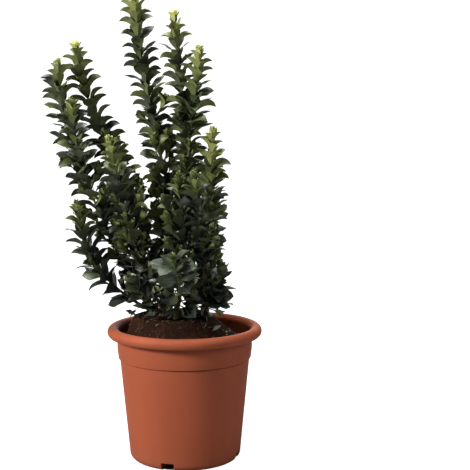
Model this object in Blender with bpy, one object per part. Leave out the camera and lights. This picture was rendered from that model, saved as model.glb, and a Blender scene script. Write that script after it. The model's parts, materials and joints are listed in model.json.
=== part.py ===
"""Potted Japanese spindle: an upright evergreen shrub in its round nursery pot.

Metres, +Z up. The origin is the middle of the pot's flat underside, and -Y is the front.
Bearings are degrees in plan, counted from +X towards +Y.
"""
import math
import random
from typing import NamedTuple

import bmesh
import bpy
import numpy as np
from mathutils import Vector, noise
from mathutils.bvhtree import BVHTree
from mathutils.geometry import interpolate_bezier
from mathutils.kdtree import KDTree

MM = 0.001
CLEARANCE = 0.3 * MM            # between two pieces that touch in the real object

# Pot
POT_SEGMENTS = 40
POT_HEIGHT = 174.6 * MM
RIM_RADIUS = 100.0 * MM
RIM_ROLL_WIDTH = 14.6 * MM      # the rolled rim, measured across its top
RIM_ROLL_HEIGHT = 14.4 * MM
WALL = 2.0 * MM
FOOT_RADIUS = 71.4 * MM         # the wall's slope carried down to the ground
FOOT_CORNER = 9.5 * MM
CORNER_STEPS = 2
STEP_RADIUS = 84.0 * MM         # top of the plain cone, where the collar's step begins
STEP_HEIGHT = 132.3 * MM
STEP_RISE = 2.0 * MM
STEP_OUT = 1.9 * MM
COLLAR_RADIUS = 87.4 * MM
COLLAR_HEIGHT = 146.0 * MM
ROLL_STEPS = 5                  # round the outside of the rolled rim
ROLL_INNER_STEPS = 3
ROLL_LIP = -52                  # degrees round the roll at which its open lip ends
ROLL_INNER_LIP = -40            # the same for the hollow inside it
SHARP_ANGLE = 35                # degrees between faces that still shade as one

# Drainage in the pot's floor
DRAIN_COUNT = 4
DRAIN_BEARING = -108.6          # of the notch at the front
DRAIN_WIDTH = 17.0 * MM
DRAIN_HEIGHT = 11.0 * MM
DRAIN_START = 22.0 * MM         # from the pot's axis
DRAIN_HOLE_RADIUS = 4.0 * MM
DRAIN_HOLE_AT = 45.0 * MM
DRAIN_HOLE_SIDES = 10

# Soil
SOIL_TOP = 188.0 * MM
SOIL_EDGE = 154.0 * MM
MOUND_CENTRE = Vector((-18.0 * MM, 0.0))
MOUND_RADIUS = 50.0 * MM        # of the mound's flat top
SHOULDER = 0.02                 # how soft the edge of that top is
SOIL_RINGS = (0.0, 0.25, 0.6, 1.0)  # shares of the way from that edge to the wall
SOIL_BUMP = 1.6 * MM
SOIL_BUMPS_PER_METRE = 90

# Stems
STEM_RISE = 26.0 * MM
STEM_RADIUS = 3.9 * MM
STEM_TOP_RADIUS = 3.1 * MM
FLARE_RADIUS = 6.4 * MM
FLARE_RISE = 7.0 * MM
STEM_SIDES = 6
STEM_RINGS = (0.0, 0.12, 0.28, 0.62, 1.0)

# Boughs and twigs
BOUGH_RADIUS = 2.5 * MM
BOUGH_TIP_RADIUS = 1.9 * MM
BOUGH_SIDES = 6
BOUGH_STEP = 13.0 * MM
ROUTE_POINTS = 40
DIRECTION_SPAN = 1.5 * MM       # either side of the place where a direction is wanted
TWIG_RADIUS = 1.8 * MM
TWIG_TIP_RADIUS = 0.9 * MM
TWIG_SIDES = 4
TWIG_STEP = 30.0 * MM
FORK_RADIUS = 1.2 * MM
BUD = 9.0 * MM                  # the last leaves stand this far past the end of their twig
LAST_PAIR = 1.8 * MM            # from the last pair to the end of the twig

# Leaves, fewer and larger than life so that the crown stays full
LEAF_LENGTH = 32.0 * MM
LEAF_TIP_LENGTH = 18.0 * MM
LEAF_WIDTH = 0.60               # as a share of the length
LEAF_THICKNESS = 1.3 * MM
LEAF_WIDEST = 0.56              # where, as a share of the length
LEAF_ARCH = 0.10                # how far the middle rises, as a share of the length
LEAF_STALK = 0.22               # share of the length that may cross its pair's other leaf
LEAF_FACES = ((0, 2, 4), (2, 1, 4), (1, 3, 4), (3, 0, 4), (0, 3, 2), (2, 3, 1))
LEAF_PITCH = 11.8 * MM          # between one pair and the next
LEAF_LEAN_LOW = 58.0            # degrees off the twig, at its foot
LEAF_LEAN_TIP = 20.0
SOFT_TIP = 25.0 * MM            # where leaves shrink and close up towards the tip
LEAF_ROW_TURN = (30, 60)        # degrees between the leaf rows and due east
LEAF_SIZES = (1.0, 0.8)         # a leaf that finds no room is tried again smaller
LENGTH_SPREAD = (0.92, 1.08)
LEAN_SPREAD = 5.0               # degrees
BEARING_SPREAD = 7.0
PLACE_SPREAD = 0.4 * MM
TRY_SHARES = (0.25, 0.45, 0.65, 0.85, 1.0)

# Side twigs
SIDE_TWIG_CHANCE = 0.2
SIDE_TWIG_SHARE = 0.55          # only this share of a shoot, from its foot, branches
SIDE_TWIG_SHORTEST = 20.0 * MM
SIDE_TWIG_LONGEST = 34.0 * MM
SIDE_TWIG_LEAN = 42.0
SIDE_TWIG_RISE = 0.3            # how far its tip turns up, as a share of its length
SIDE_TWIG_BARE = 0.4            # share of its length below its first leaves
SIDE_TWIG_RADIUS = 1.1 * MM
SIDE_TWIG_TIP_RADIUS = 0.7 * MM
SIDE_TWIG_POINTS = 12
SIDE_TWIG_ROOT_POINTS = 3       # these may lie beside another twig

# Space that each mass keeps to
SPACE_MARGIN = 0.7 * MM
LIMB_MARGIN = 1.3 * MM
SOIL_MARGIN = 2.0 * MM
GROWTH_SEED = 11
SEED_RANGE = 1000
TOUCH = 0.0006 * MM             # two corners nearer than this would weld


class Stem(NamedTuple):
    """A short main stem: its foot on the soil and its lean, in mm and run per rise."""
    foot: tuple
    lean: tuple


class Shoot(NamedTuple):
    """A leafy shoot: where it leaves its stem (0 foot, 1 top), its tip in mm, and its leans.

    A lean is the run in X and Y for each unit of rise, where the shoot starts and at its tip.
    A shoot at the top of its stem goes on as the stem leans, so it has no first lean of its own.
    The bough is the bare length in mm below its leaves.
    """
    stem: str
    up: float
    tip: tuple
    lean: tuple
    tip_lean: tuple
    bough: float
    shade: str


class Fork(NamedTuple):
    """A second leader that leaves a shoot at a share of its length."""
    along: float
    tip: tuple
    lean: tuple
    tip_lean: tuple


STEMS = {
    "west": Stem((-40, 2), (-0.55, 0.0)),
    "middle": Stem((-28, -9), (-0.05, 0.12)),
    "front": Stem((-12, -22), (0.13, -0.10)),
    "back": Stem((-20, 10), (0.14, 0.0)),
    "centre": Stem((3, -4), (0.12, 0.05)),
    "back_east": Stem((6, 17), (0.03, 0.30)),
    "east": Stem((25, -5), (0.03, -0.14)),
}

SHOOTS = {
    "spire_west": Shoot("west", 1.0, (-160, 15, 516), None, (-0.08, 0.03), 26, "green"),
    "spire_gold": Shoot("middle", 1.0, (-139, 40, 538), None, (-0.10, 0.01), 26, "light"),
    "spire_pale": Shoot("middle", 0.25, (-93, -45, 420), (-0.50, -0.16), (-0.20, -0.14), 32, "light"),
    "spire_low_west": Shoot("west", 0.15, (-136, -25, 339), (-1.73, -0.33), (-0.19, -0.05), 26, "dark"),
    "spire_tall": Shoot("back", 1.0, (-61, 20, 594), None, (-0.02, -0.04), 26, "green"),
    "spire_centre": Shoot("centre", 1.0, (-14, -5, 577), None, (-0.08, 0.01), 26, "green"),
    "spire_east": Shoot("east", 1.0, (36, -40, 431), None, (0.05, -0.05), 24, "light"),
    "spire_front_east": Shoot("centre", 0.2, (11, -62, 378), (0.66, -0.30), (-0.09, -0.12), 34, "green"),
    "spire_front": Shoot("front", 1.0, (-8, -50, 376), None, (-0.15, -0.10), 24, "dark"),
    "sprig_front": Shoot("front", 0.3, (-15, -88, 279), (0.50, -0.75), (-0.10, -0.60), 0, "light"),
    "sprig_east": Shoot("east", 0.3, (60, -19, 247), (0.95, -0.30), (0.50, -0.05), 0, "dark"),
    "spire_back_west": Shoot("west", 0.45, (-100, 56, 362), (-0.62, 0.60), (-0.15, 0.15), 30, "dark"),
    "spire_back": Shoot("back_east", 1.0, (0, 84, 470), None, (-0.04, 0.12), 26, "green"),
    "spire_mid_back": Shoot("back", 0.45, (-90, 74, 418), (-0.50, 0.62), (-0.16, 0.10), 32, "green"),
    "spire_back_east": Shoot("back_east", 0.5, (36, 66, 402), (0.55, 0.30), (0.02, 0.12), 32, "green"),
    "spire_low_back": Shoot("back", 0.12, (-28, 100, 332), (0.10, 1.25), (-0.05, 0.25), 32, "dark"),
    "spire_low_east": Shoot("back_east", 0.2, (37, 32, 336), (0.92, 0.12), (0.02, 0.05), 32, "dark"),
    "skirt_front_west": Shoot("middle", 0.1, (-66, -56, 248), (-0.80, -1.00), (-0.45, -0.60), 0, "dark"),
    "skirt_back_west": Shoot("west", 0.1, (-72, 62, 250), (-0.10, 1.30), (-0.50, 0.80), 0, "dark"),
    "skirt_front_east": Shoot("east", 0.1, (44, -58, 246), (0.30, -1.20), (0.25, -0.60), 0, "dark"),
    "skirt_back_east": Shoot("back_east", 0.1, (34, 78, 250), (0.30, 1.50), (0.50, 0.80), 0, "dark"),
}

FORKS = {
    "spire_west": Fork(0.52, (-138, -30, 466), (-0.20, -0.75), (0.05, -0.30)),
    "spire_centre": Fork(0.55, (20, -28, 533), (0.15, -0.50), (0.08, -0.08)),
}

# Base colour and roughness
FINISHES = {
    "pot": ((0.43, 0.115, 0.066), 0.42),
    "soil": ((0.030, 0.017, 0.011), 0.95),
    "bark": ((0.135, 0.095, 0.060), 0.85),
    "dark": ((0.018, 0.036, 0.013), 0.38),
    "green": ((0.035, 0.070, 0.020), 0.38),
    "light": ((0.115, 0.190, 0.050), 0.40),
}


def clear_scene():
    """Remove the objects that are there at the start."""
    for thing in list(bpy.data.objects):
        bpy.data.objects.remove(thing, do_unlink=True)


def material(finish):
    """The named finish, made once and shared."""
    if finish in bpy.data.materials:
        return bpy.data.materials[finish]
    colour, roughness = FINISHES[finish]
    made = bpy.data.materials.new(finish)
    made.use_nodes = True
    shader = made.node_tree.nodes["Principled BSDF"]
    shader.inputs["Base Color"].default_value = (*colour, 1.0)
    shader.inputs["Roughness"].default_value = roughness
    shader.inputs["Metallic"].default_value = 0.0
    return made


def new_object(name, mesh, finish):
    """An object from a bmesh, with its faces turned outward."""
    bmesh.ops.recalc_face_normals(mesh, faces=mesh.faces)
    data = bpy.data.meshes.new(name)
    mesh.to_mesh(data)
    mesh.free()
    data.materials.append(material(finish))
    made = bpy.data.objects.new(name, data)
    bpy.context.scene.collection.objects.link(made)
    return made


def settle(thing):
    """Make an object's modifiers permanent."""
    graph = bpy.context.evaluated_depsgraph_get()
    mesh = bpy.data.meshes.new_from_object(thing.evaluated_get(graph))
    thing.modifiers.clear()
    thing.data = mesh


def combine(thing, others, operation):
    """One exact Boolean of an object with a collection of others, which are then removed."""
    group = bpy.data.collections.new(thing.name + "_" + operation.lower())
    bpy.context.scene.collection.children.link(group)
    for other in others:
        bpy.context.scene.collection.objects.unlink(other)
        group.objects.link(other)
    step = thing.modifiers.new(operation.lower(), "BOOLEAN")
    step.operation = operation
    step.operand_type = "COLLECTION"
    step.collection = group
    step.solver = "EXACT"
    settle(thing)
    for other in list(group.objects):
        bpy.data.objects.remove(other, do_unlink=True)
    bpy.data.collections.remove(group)


def keep_outer_shell(thing):
    """Drop loose scraps and sealed hollows, which leaves the one shell that encloses most."""
    mesh = bmesh.new()
    mesh.from_mesh(thing.data)
    unseen = set(mesh.faces)
    shells = []
    while unseen:
        front = [unseen.pop()]
        shell = list(front)
        while front:
            near = {face for edge in front.pop().edges for face in edge.link_faces} & unseen
            unseen -= near
            front += near
            shell += near
        shells.append(shell)
    outer = max(shells, key=spread)
    loose = [face for shell in shells if shell is not outer for face in shell]
    bmesh.ops.delete(mesh, geom=loose, context="FACES")
    mesh.to_mesh(thing.data)
    mesh.free()


def spread(faces):
    """Length of the diagonal of the box round some faces."""
    places = np.array([vert.co for face in faces for vert in face.verts])
    return float(np.linalg.norm(places.max(axis=0) - places.min(axis=0)))


def arc(centre, radii, start, end, steps):
    """Points of part of an ellipse in a (radius, height) plane, between two angles."""
    points = []
    for i in range(steps + 1):
        angle = math.radians(start + (end - start) * i / steps)
        points.append((centre[0] + radii[0] * math.cos(angle), centre[1] + radii[1] * math.sin(angle)))
    return points


def turned(name, profile, segments, finish):
    """A body turned about Z from (radius, height) points that begin and end on the axis."""
    mesh = bmesh.new()
    verts = [mesh.verts.new((radius, 0.0, height)) for radius, height in profile]
    edges = [mesh.edges.new(pair) for pair in zip(verts, verts[1:])]
    bmesh.ops.spin(mesh, geom=verts + edges, cent=(0, 0, 0), axis=(0, 0, 1),
                   angle=math.tau, steps=segments, use_merge=True)
    bmesh.ops.remove_doubles(mesh, verts=mesh.verts, dist=1e-6)
    return new_object(name, mesh, finish)


def wall_slope():
    """How far the plain cone spreads for each unit of height."""
    return (STEP_RADIUS - FOOT_RADIUS) / STEP_HEIGHT


def wall_profile(inset):
    """The wall from its foot corner to the top of its collar, moved inward by an inset."""
    corner = FOOT_CORNER - inset
    corner_radius = FOOT_RADIUS + wall_slope() * FOOT_CORNER - FOOT_CORNER
    profile = arc((corner_radius, FOOT_CORNER), (corner, corner), -90, 0, CORNER_STEPS)
    profile.append((STEP_RADIUS - inset, STEP_HEIGHT))
    profile.append((STEP_RADIUS + STEP_OUT - inset, STEP_HEIGHT + STEP_RISE))
    profile.append((COLLAR_RADIUS - inset, COLLAR_HEIGHT))
    return profile


def rim_profile():
    """The rolled rim: up inside the roll, round its open lip, over the top and down again."""
    across, high = RIM_ROLL_WIDTH / 2, RIM_ROLL_HEIGHT / 2
    centre = (RIM_RADIUS - across, POT_HEIGHT - high)
    hollow = arc(centre, (across - WALL, high - WALL), 180, ROLL_INNER_LIP, ROLL_INNER_STEPS)
    outside = arc(centre, (across, high), ROLL_LIP, 180, ROLL_STEPS)
    return [(COLLAR_RADIUS, centre[1] - high)] + hollow + outside


def drain_boxes(width, bottom, top, start, end):
    """Four bars that lie along the drain channels, from one distance off the axis to another."""
    bars = []
    for i in range(DRAIN_COUNT):
        bearing = math.radians(DRAIN_BEARING + 360 * i / DRAIN_COUNT)
        out = Vector((math.cos(bearing), math.sin(bearing), 0))
        side = Vector((-out.y, out.x, 0)) * width / 2
        mesh = bmesh.new()
        corners = []
        for height in (bottom, top):
            for reach, turn in ((start, -1), (end, -1), (end, 1), (start, 1)):
                corners.append(mesh.verts.new(out * reach + side * turn + Vector((0, 0, height))))
        bmesh.ops.convex_hull(mesh, input=corners)
        bars.append(new_object("drain_bar_%d" % i, mesh, "pot"))
    return bars


def drain_holes():
    """Cutters for one round hole in each drain channel's roof."""
    holes = []
    for i in range(DRAIN_COUNT):
        bearing = math.radians(DRAIN_BEARING + 360 * i / DRAIN_COUNT)
        mesh = bmesh.new()
        bmesh.ops.create_cone(mesh, cap_ends=True, segments=DRAIN_HOLE_SIDES, depth=4 * WALL,
                              radius1=DRAIN_HOLE_RADIUS, radius2=DRAIN_HOLE_RADIUS)
        place = Vector((math.cos(bearing), math.sin(bearing), 0)) * DRAIN_HOLE_AT
        bmesh.ops.translate(mesh, vec=place + Vector((0, 0, DRAIN_HEIGHT + WALL)), verts=mesh.verts)
        holes.append(new_object("drain_hole_%d" % i, mesh, "pot"))
    return holes


def floor_ridges():
    """Raised ridges inside the pot, over the drain channels, kept inside the pot's outer skin."""
    ridges = drain_boxes(DRAIN_WIDTH + 2 * WALL, WALL / 2, DRAIN_HEIGHT + WALL,
                         DRAIN_START - WALL, FOOT_RADIUS)
    below_step = wall_profile(WALL / 2)[:CORNER_STEPS + 2]
    for ridge in ridges:
        limit = turned("ridge_limit", [(0, WALL / 2)] + below_step + [(0, STEP_HEIGHT)], POT_SEGMENTS, "pot")
        combine(ridge, [limit], "INTERSECT")
    return ridges


def build_pot():
    """The thin-walled pot, with its collar, hollow rolled rim, notches and drain holes."""
    outside = [(0, 0)] + wall_profile(0) + rim_profile()
    inside = list(reversed(wall_profile(WALL))) + [(0, WALL)]
    pot = turned("pot", outside + inside, POT_SEGMENTS, "pot")
    combine(pot, floor_ridges(), "UNION")
    channels = drain_boxes(DRAIN_WIDTH, -WALL, DRAIN_HEIGHT, DRAIN_START, FOOT_RADIUS + FOOT_CORNER)
    combine(pot, channels + drain_holes(), "DIFFERENCE")
    pot.data.shade_smooth()
    pot.data.set_sharp_from_angle(angle=math.radians(SHARP_ANGLE))


def soil_point(share, bearing):
    """Point on the soil, a share of the way from the edge of the mound's top to the wall."""
    outward = Vector((math.cos(bearing), math.sin(bearing)))
    edge = outward * (COLLAR_RADIUS - WALL - CLEARANCE)
    place = (MOUND_CENTRE + outward * MOUND_RADIUS).lerp(edge, share)
    soft = math.sqrt(SHOULDER)
    fall = (math.sqrt(share * share + SHOULDER) - soft) / (math.sqrt(1 + SHOULDER) - soft)
    height = SOIL_TOP - (SOIL_TOP - SOIL_EDGE) * fall
    if share:
        height += SOIL_BUMP * noise.noise(Vector((place.x, place.y, 0)) * SOIL_BUMPS_PER_METRE)
    return Vector((place.x, place.y, height))


def build_soil():
    """Soil that fills the pot to below its rim and mounds up under the stems."""
    bearings = [math.tau * i / POT_SEGMENTS for i in range(POT_SEGMENTS)]
    mesh = bmesh.new()
    rings = []
    for radius, height in wall_profile(WALL + CLEARANCE):
        rings.append([Vector((radius * math.cos(b), radius * math.sin(b), height)) for b in bearings])
    for share in reversed(SOIL_RINGS):
        rings.append([soil_point(share, b) for b in bearings])
    rows = [[mesh.verts.new(point) for point in ring] for ring in rings]
    for lower, upper in zip(rows, rows[1:]):
        for i in range(POT_SEGMENTS):
            j = (i + 1) % POT_SEGMENTS
            mesh.faces.new((lower[i], lower[j], upper[j], upper[i]))
    mesh.faces.new(list(reversed(rows[0])))
    mesh.faces.new(rows[-1])
    bmesh.ops.triangulate(mesh, faces=mesh.faces)
    soil = new_object("soil", mesh, "soil")
    room = drain_boxes(DRAIN_WIDTH + 2 * WALL + 2 * CLEARANCE, -WALL, DRAIN_HEIGHT + WALL + CLEARANCE,
                       DRAIN_START - WALL - CLEARANCE, FOOT_RADIUS + FOOT_CORNER)
    combine(soil, room, "DIFFERENCE")


class Route:
    """A smooth line, with places on it found by their distance from its start."""

    def __init__(self, points):
        self.points = np.array([tuple(point) for point in points])
        steps = np.linalg.norm(np.diff(self.points, axis=0), axis=1)
        self.reach = np.concatenate(([0.0], np.cumsum(steps)))
        self.length = float(self.reach[-1])

    def point(self, distance):
        return Vector([float(np.interp(distance, self.reach, self.points[:, i])) for i in range(3)])

    def direction(self, distance):
        before = self.point(max(0.0, distance - DIRECTION_SPAN))
        return (self.point(min(self.length, distance + DIRECTION_SPAN)) - before).normalized()

    def part(self, start, end, step):
        """Evenly spaced distances between two places on the line."""
        count = max(1, round((end - start) / step))
        return [start + (end - start) * i / count for i in range(count + 1)]


def leaning_route(start, tip, lean, tip_lean):
    """A smooth line between two points that leans as given at each end."""
    rise = tip.z - start.z
    first = start + Vector((lean[0], lean[1], 1)) * rise / 3
    last = tip - Vector((tip_lean[0], tip_lean[1], 1)) * rise / 3
    return Route(interpolate_bezier(start, first, last, tip, ROUTE_POINTS))


def stem_place(name, up):
    """Point on a stem's axis, from 0 at the soil to 1 at its top."""
    stem = STEMS[name]
    foot = Vector((stem.foot[0] * MM, stem.foot[1] * MM, SOIL_TOP + CLEARANCE))
    return foot + Vector((stem.lean[0], stem.lean[1], 1)) * STEM_RISE * up


def stem_radius(up):
    """Radius of a stem, which flares out to its roots over the last few millimetres."""
    radius = STEM_RADIUS + (STEM_TOP_RADIUS - STEM_RADIUS) * up
    flare = max(0.0, 1 - up * STEM_RISE / FLARE_RISE)
    return radius + (FLARE_RADIUS - STEM_RADIUS) * flare * flare


def limb(name, stations, sides, finish, turn=0.0):
    """A closed limb of flat sides through stations of point, direction and radius.

    At a turn of 0 the middles of its sides face front, back and, with four sides, left and right.
    """
    mesh = bmesh.new()
    side = Vector((0, 1, 0))
    rings = []
    for point, direction, radius in stations:
        side = (side - direction * side.dot(direction)).normalized()
        other = direction.cross(side)
        ring = []
        for i in range(sides):
            angle = math.tau * (i + 0.5) / sides + turn
            place = point + radius * (math.cos(angle) * side + math.sin(angle) * other)
            ring.append(mesh.verts.new(place))
        rings.append(ring)
    for lower, upper in zip(rings, rings[1:]):
        for i in range(sides):
            j = (i + 1) % sides
            mesh.faces.new((lower[i], lower[j], upper[j], upper[i]))
    mesh.faces.new(list(reversed(rings[0])))
    mesh.faces.new(rings[-1])
    return new_object(name, mesh, finish)


def stem_stations(name, grown=0.0):
    """Stations up a stem, which can be grown all round to cut what leaves its side."""
    lean = Vector((STEMS[name].lean[0], STEMS[name].lean[1], 1)).normalized()
    stations = []
    for up in STEM_RINGS:
        direction = Vector((0, 0, 1)) if up == 0 else lean
        stations.append((stem_place(name, up), direction, stem_radius(up) + grown))
    if grown:
        top, direction, radius = stations[-1]
        stations[-1] = (top + direction * grown, direction, radius)
    return stations


def tapering(route, start, end, step, radius, tip_radius):
    """Stations along part of a route, from one radius to another."""
    stations = []
    for distance in route.part(start, end, step):
        share = (distance - start) / (end - start)
        stations.append((route.point(distance), route.direction(distance),
                         radius + (tip_radius - radius) * share))
    return stations


def shoot_route(shoot):
    """The line of a shoot from its stem to its tip."""
    start = stem_place(shoot.stem, shoot.up)
    lean = shoot.lean
    if lean is None:
        lean = STEMS[shoot.stem].lean
        start += Vector((lean[0], lean[1], 1)).normalized() * CLEARANCE
    return leaning_route(start, Vector(shoot.tip) * MM, lean, shoot.tip_lean)


def clear_of_stem(thing, shoot):
    """Cut a limb that starts inside its stem back to just clear of the stem's bark."""
    if shoot.lean:
        cutter = limb("stem_cutter", stem_stations(shoot.stem, CLEARANCE), STEM_SIDES, "bark")
        combine(thing, [cutter], "DIFFERENCE")
        keep_outer_shell(thing)


def build_boughs(routes):
    """One bare tapering bough for each shoot that has one."""
    for name, shoot in SHOOTS.items():
        if shoot.bough:
            stations = tapering(routes[name], 0.0, shoot.bough * MM, BOUGH_STEP,
                                BOUGH_RADIUS, BOUGH_TIP_RADIUS)
            bough = limb("bough_" + name, stations, BOUGH_SIDES, "bark")
            clear_of_stem(bough, shoot)


def limb_stations(routes):
    """Stations of every stem and bough, which leaves have to miss."""
    limbs = [stem_stations(name) for name in STEMS]
    for name, shoot in SHOOTS.items():
        if shoot.bough:
            limbs.append(tapering(routes[name], 0.0, shoot.bough * MM, BOUGH_STEP,
                                  BOUGH_RADIUS, BOUGH_TIP_RADIUS))
    return limbs


def distance_to_line(points, line):
    """Distance from each point to a line of straight pieces."""
    start, step = line[:-1], np.diff(line, axis=0)
    offset = points[:, None, :] - start[None, :, :]
    share = np.clip((offset * step).sum(axis=2) / (step * step).sum(axis=1), 0, 1)
    gap = offset - share[:, :, None] * step
    return np.sqrt((gap * gap).sum(axis=2)).min(axis=1)


class Space:
    """The room that one mass may fill: nearer to its own twigs than to any other mass's."""

    def __init__(self, name, leafy_lines, limbs):
        self.own = leafy_lines[name]
        self.others = [line for other, lines in leafy_lines.items() if other != name for line in lines]
        self.limbs = [(np.array([tuple(station[0]) for station in stations]),
                       max(station[2] for station in stations)) for stations in limbs]
        self.corners = []
        self.faces = []

    def holds(self, points):
        """Whether all the points lie in the space, clear of limbs and of the soil."""
        if points[:, 2].min() < SOIL_TOP + SOIL_MARGIN:
            return False
        home = np.min([distance_to_line(points, line) for line in self.own], axis=0)
        for line in self.others:
            if (distance_to_line(points, line) < home + 2 * SPACE_MARGIN).any():
                return False
        for line, radius in self.limbs:
            if distance_to_line(points, line).min() < radius + LIMB_MARGIN:
                return False
        return True

    def takes(self, corners):
        """Whether a leaf, past its root, misses the leaves already placed; if so it is kept."""
        blade = [corners[0].lerp(corners[1], LEAF_STALK)] + corners[1:]
        if self.corners:
            placed = BVHTree.FromPolygons(self.corners, self.faces)
            if placed.overlap(BVHTree.FromPolygons(blade, LEAF_FACES)):
                return False
        first = len(self.corners)
        self.corners += blade
        self.faces += [[first + i for i in face] for face in LEAF_FACES]
        return True


def leaf_corners(root, along, upward, length):
    """Root, tip, two edges and the crest of a leaf that arches outward."""
    across = along.cross(upward)
    middle = root + along * length * LEAF_WIDEST + upward * length * LEAF_ARCH
    half = across * length * LEAF_WIDTH / 2
    return [root, root + along * length, middle + half, middle - half, middle + upward * LEAF_THICKNESS]


def leaf_samples(corners):
    """Points spread over a leaf past its root, to try whether it fits."""
    root, tip, left, right, top = corners
    samples = []
    for share in TRY_SHARES:
        samples += [root.lerp(left, share), root.lerp(right, share), root.lerp(top, share)]
        samples += [tip.lerp(left, share), tip.lerp(right, share), tip.lerp(top, share)]
    return np.array([tuple(point) for point in samples])


def leaf_body(corners):
    """A thin closed leaf of six faces."""
    mesh = bmesh.new()
    verts = [mesh.verts.new(corner) for corner in corners]
    for face in LEAF_FACES:
        mesh.faces.new([verts[i] for i in face])
    return new_object("leaf", mesh, "green")


def leaf_frame(direction, bearing):
    """Outward direction from a twig at a bearing round it."""
    east = Vector((1, 0, 0))
    east = (east - direction * east.dot(direction)).normalized()
    north = direction.cross(east)
    return math.cos(bearing) * east + math.sin(bearing) * north


def try_leaf(space, point, direction, outward, lean, length):
    """A leaf on a twig where there is room for it, a smaller one, or none."""
    along = direction * math.cos(lean) + outward * math.sin(lean)
    upward = direction * math.sin(lean) - outward * math.cos(lean)
    root = point - outward * TWIG_TIP_RADIUS / 2
    for size in LEAF_SIZES:
        corners = leaf_corners(root, along, upward, size * length)
        if space.holds(leaf_samples(corners)) and space.takes(corners):
            return [leaf_body(corners)]
    return []


def leaf_pairs(space, route, start, turn, rng):
    """Pairs of leaves along a twig, each pair turned a quarter round from the last."""
    leaves = []
    end = route.length - BUD - LAST_PAIR
    for i, distance in enumerate(route.part(start, end, LEAF_PITCH)):
        soft = min(1.0, (end - distance) / SOFT_TIP)
        length = (LEAF_TIP_LENGTH + (LEAF_LENGTH - LEAF_TIP_LENGTH) * soft) * rng.uniform(*LENGTH_SPREAD)
        lean = LEAF_LEAN_TIP + (LEAF_LEAN_LOW - LEAF_LEAN_TIP) * soft
        direction = route.direction(distance)
        for side in (0, 180):
            bearing = turn + math.radians(i * 90 + side + rng.uniform(-BEARING_SPREAD, BEARING_SPREAD))
            place = route.point(distance + rng.uniform(-PLACE_SPREAD, PLACE_SPREAD))
            leaves += try_leaf(space, place, direction, leaf_frame(direction, bearing),
                               math.radians(lean + rng.uniform(-LEAN_SPREAD, LEAN_SPREAD)), length)
    return leaves


def side_twigs(space, route, start, rng):
    """Short leafy twigs out of the lower part of a shoot."""
    pieces = []
    for i, distance in enumerate(route.part(start, route.length, 2 * LEAF_PITCH)[1:]):
        if distance > start + (route.length - start) * SIDE_TWIG_SHARE or rng.random() > SIDE_TWIG_CHANCE:
            continue
        foot = route.point(distance + LEAF_PITCH / 2)
        direction = route.direction(distance)
        outward = leaf_frame(direction, rng.uniform(0, math.tau))
        lean = math.radians(SIDE_TWIG_LEAN)
        heading = direction * math.cos(lean) + outward * math.sin(lean)
        length = rng.uniform(SIDE_TWIG_SHORTEST, SIDE_TWIG_LONGEST)
        elbow = foot + heading * length / 2
        tip = foot + heading * length * (1 - SIDE_TWIG_RISE) + Vector((0, 0, length * SIDE_TWIG_RISE))
        twig = Route(interpolate_bezier(foot, elbow, elbow, tip, SIDE_TWIG_POINTS))
        if space.holds(twig.points[SIDE_TWIG_ROOT_POINTS:]):
            stations = tapering(twig, 0.0, twig.length - BUD / 2, TWIG_STEP / 2,
                                SIDE_TWIG_RADIUS, SIDE_TWIG_TIP_RADIUS)
            pieces.append(limb("side_twig", stations, TWIG_SIDES, "green"))
            pieces += leaf_pairs(space, twig, SIDE_TWIG_BARE * twig.length, 0.0, rng)
    return pieces


def twig_body(name, route, start, finish, turn):
    """The one stem of a mass, tapering to its tip."""
    return limb(name, tapering(route, start, route.length - BUD, TWIG_STEP, TWIG_RADIUS,
                               TWIG_TIP_RADIUS), TWIG_SIDES, finish, turn)


def grow_mass(name, route, fork, space, seed):
    """One mass of foliage: its stem, fork, side twigs and leaves, joined as one."""
    shoot = SHOOTS[name]
    rng = random.Random(seed)
    start = shoot.bough * MM + CLEARANCE if shoot.bough else 0.0
    turn = math.radians(rng.uniform(*LEAF_ROW_TURN))
    mass = twig_body(name, route, start, shoot.shade, turn)
    if not shoot.bough:
        clear_of_stem(mass, shoot)
    first = start + (LEAF_PITCH / 2 if shoot.bough else LEAF_PITCH)
    pieces = leaf_pairs(space, route, first, turn, rng) + side_twigs(space, route, first, rng)
    if fork:
        pieces.append(limb("fork", tapering(fork, 0.0, fork.length - BUD, TWIG_STEP,
                                            FORK_RADIUS, TWIG_TIP_RADIUS), TWIG_SIDES, "green"))
        pieces += leaf_pairs(space, fork, LEAF_PITCH, 0.0, rng)
    combine(mass, pieces, "UNION")
    keep_outer_shell(mass)
    return mass


def has_touching_corners(thing):
    """Whether two corners of a mesh lie so close together that its walls would touch."""
    places = [vert.co for vert in thing.data.vertices]
    tree = KDTree(len(places))
    for index, place in enumerate(places):
        tree.insert(place, index)
    tree.balance()
    return any(len(tree.find_range(place, TOUCH)) > 1 for place in places)


def build_masses(routes):
    """Every mass of foliage, grown again from another seed where its walls would touch."""
    forks = {name: leaning_route(routes[name].point(routes[name].length * fork.along),
                                 Vector(fork.tip) * MM, fork.lean, fork.tip_lean)
             for name, fork in FORKS.items()}
    leafy_lines = {}
    for name, shoot in SHOOTS.items():
        route = routes[name]
        line = [tuple(route.point(d)) for d in route.part(shoot.bough * MM, route.length, TWIG_STEP / 2)]
        leafy_lines[name] = [np.array(line)]
        if name in forks:
            leafy_lines[name].append(forks[name].points)
    limbs = limb_stations(routes)
    for index, name in enumerate(SHOOTS):
        for seed in range(GROWTH_SEED + index, GROWTH_SEED + SEED_RANGE, len(SHOOTS)):
            mass = grow_mass(name, routes[name], forks.get(name), Space(name, leafy_lines, limbs), seed)
            if not has_touching_corners(mass):
                break
            bpy.data.objects.remove(mass, do_unlink=True)


def build_stems():
    """The short main stems, cut flat where they stand on the soil."""
    for name in STEMS:
        limb("stem_" + name, stem_stations(name), STEM_SIDES, "bark")


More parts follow.
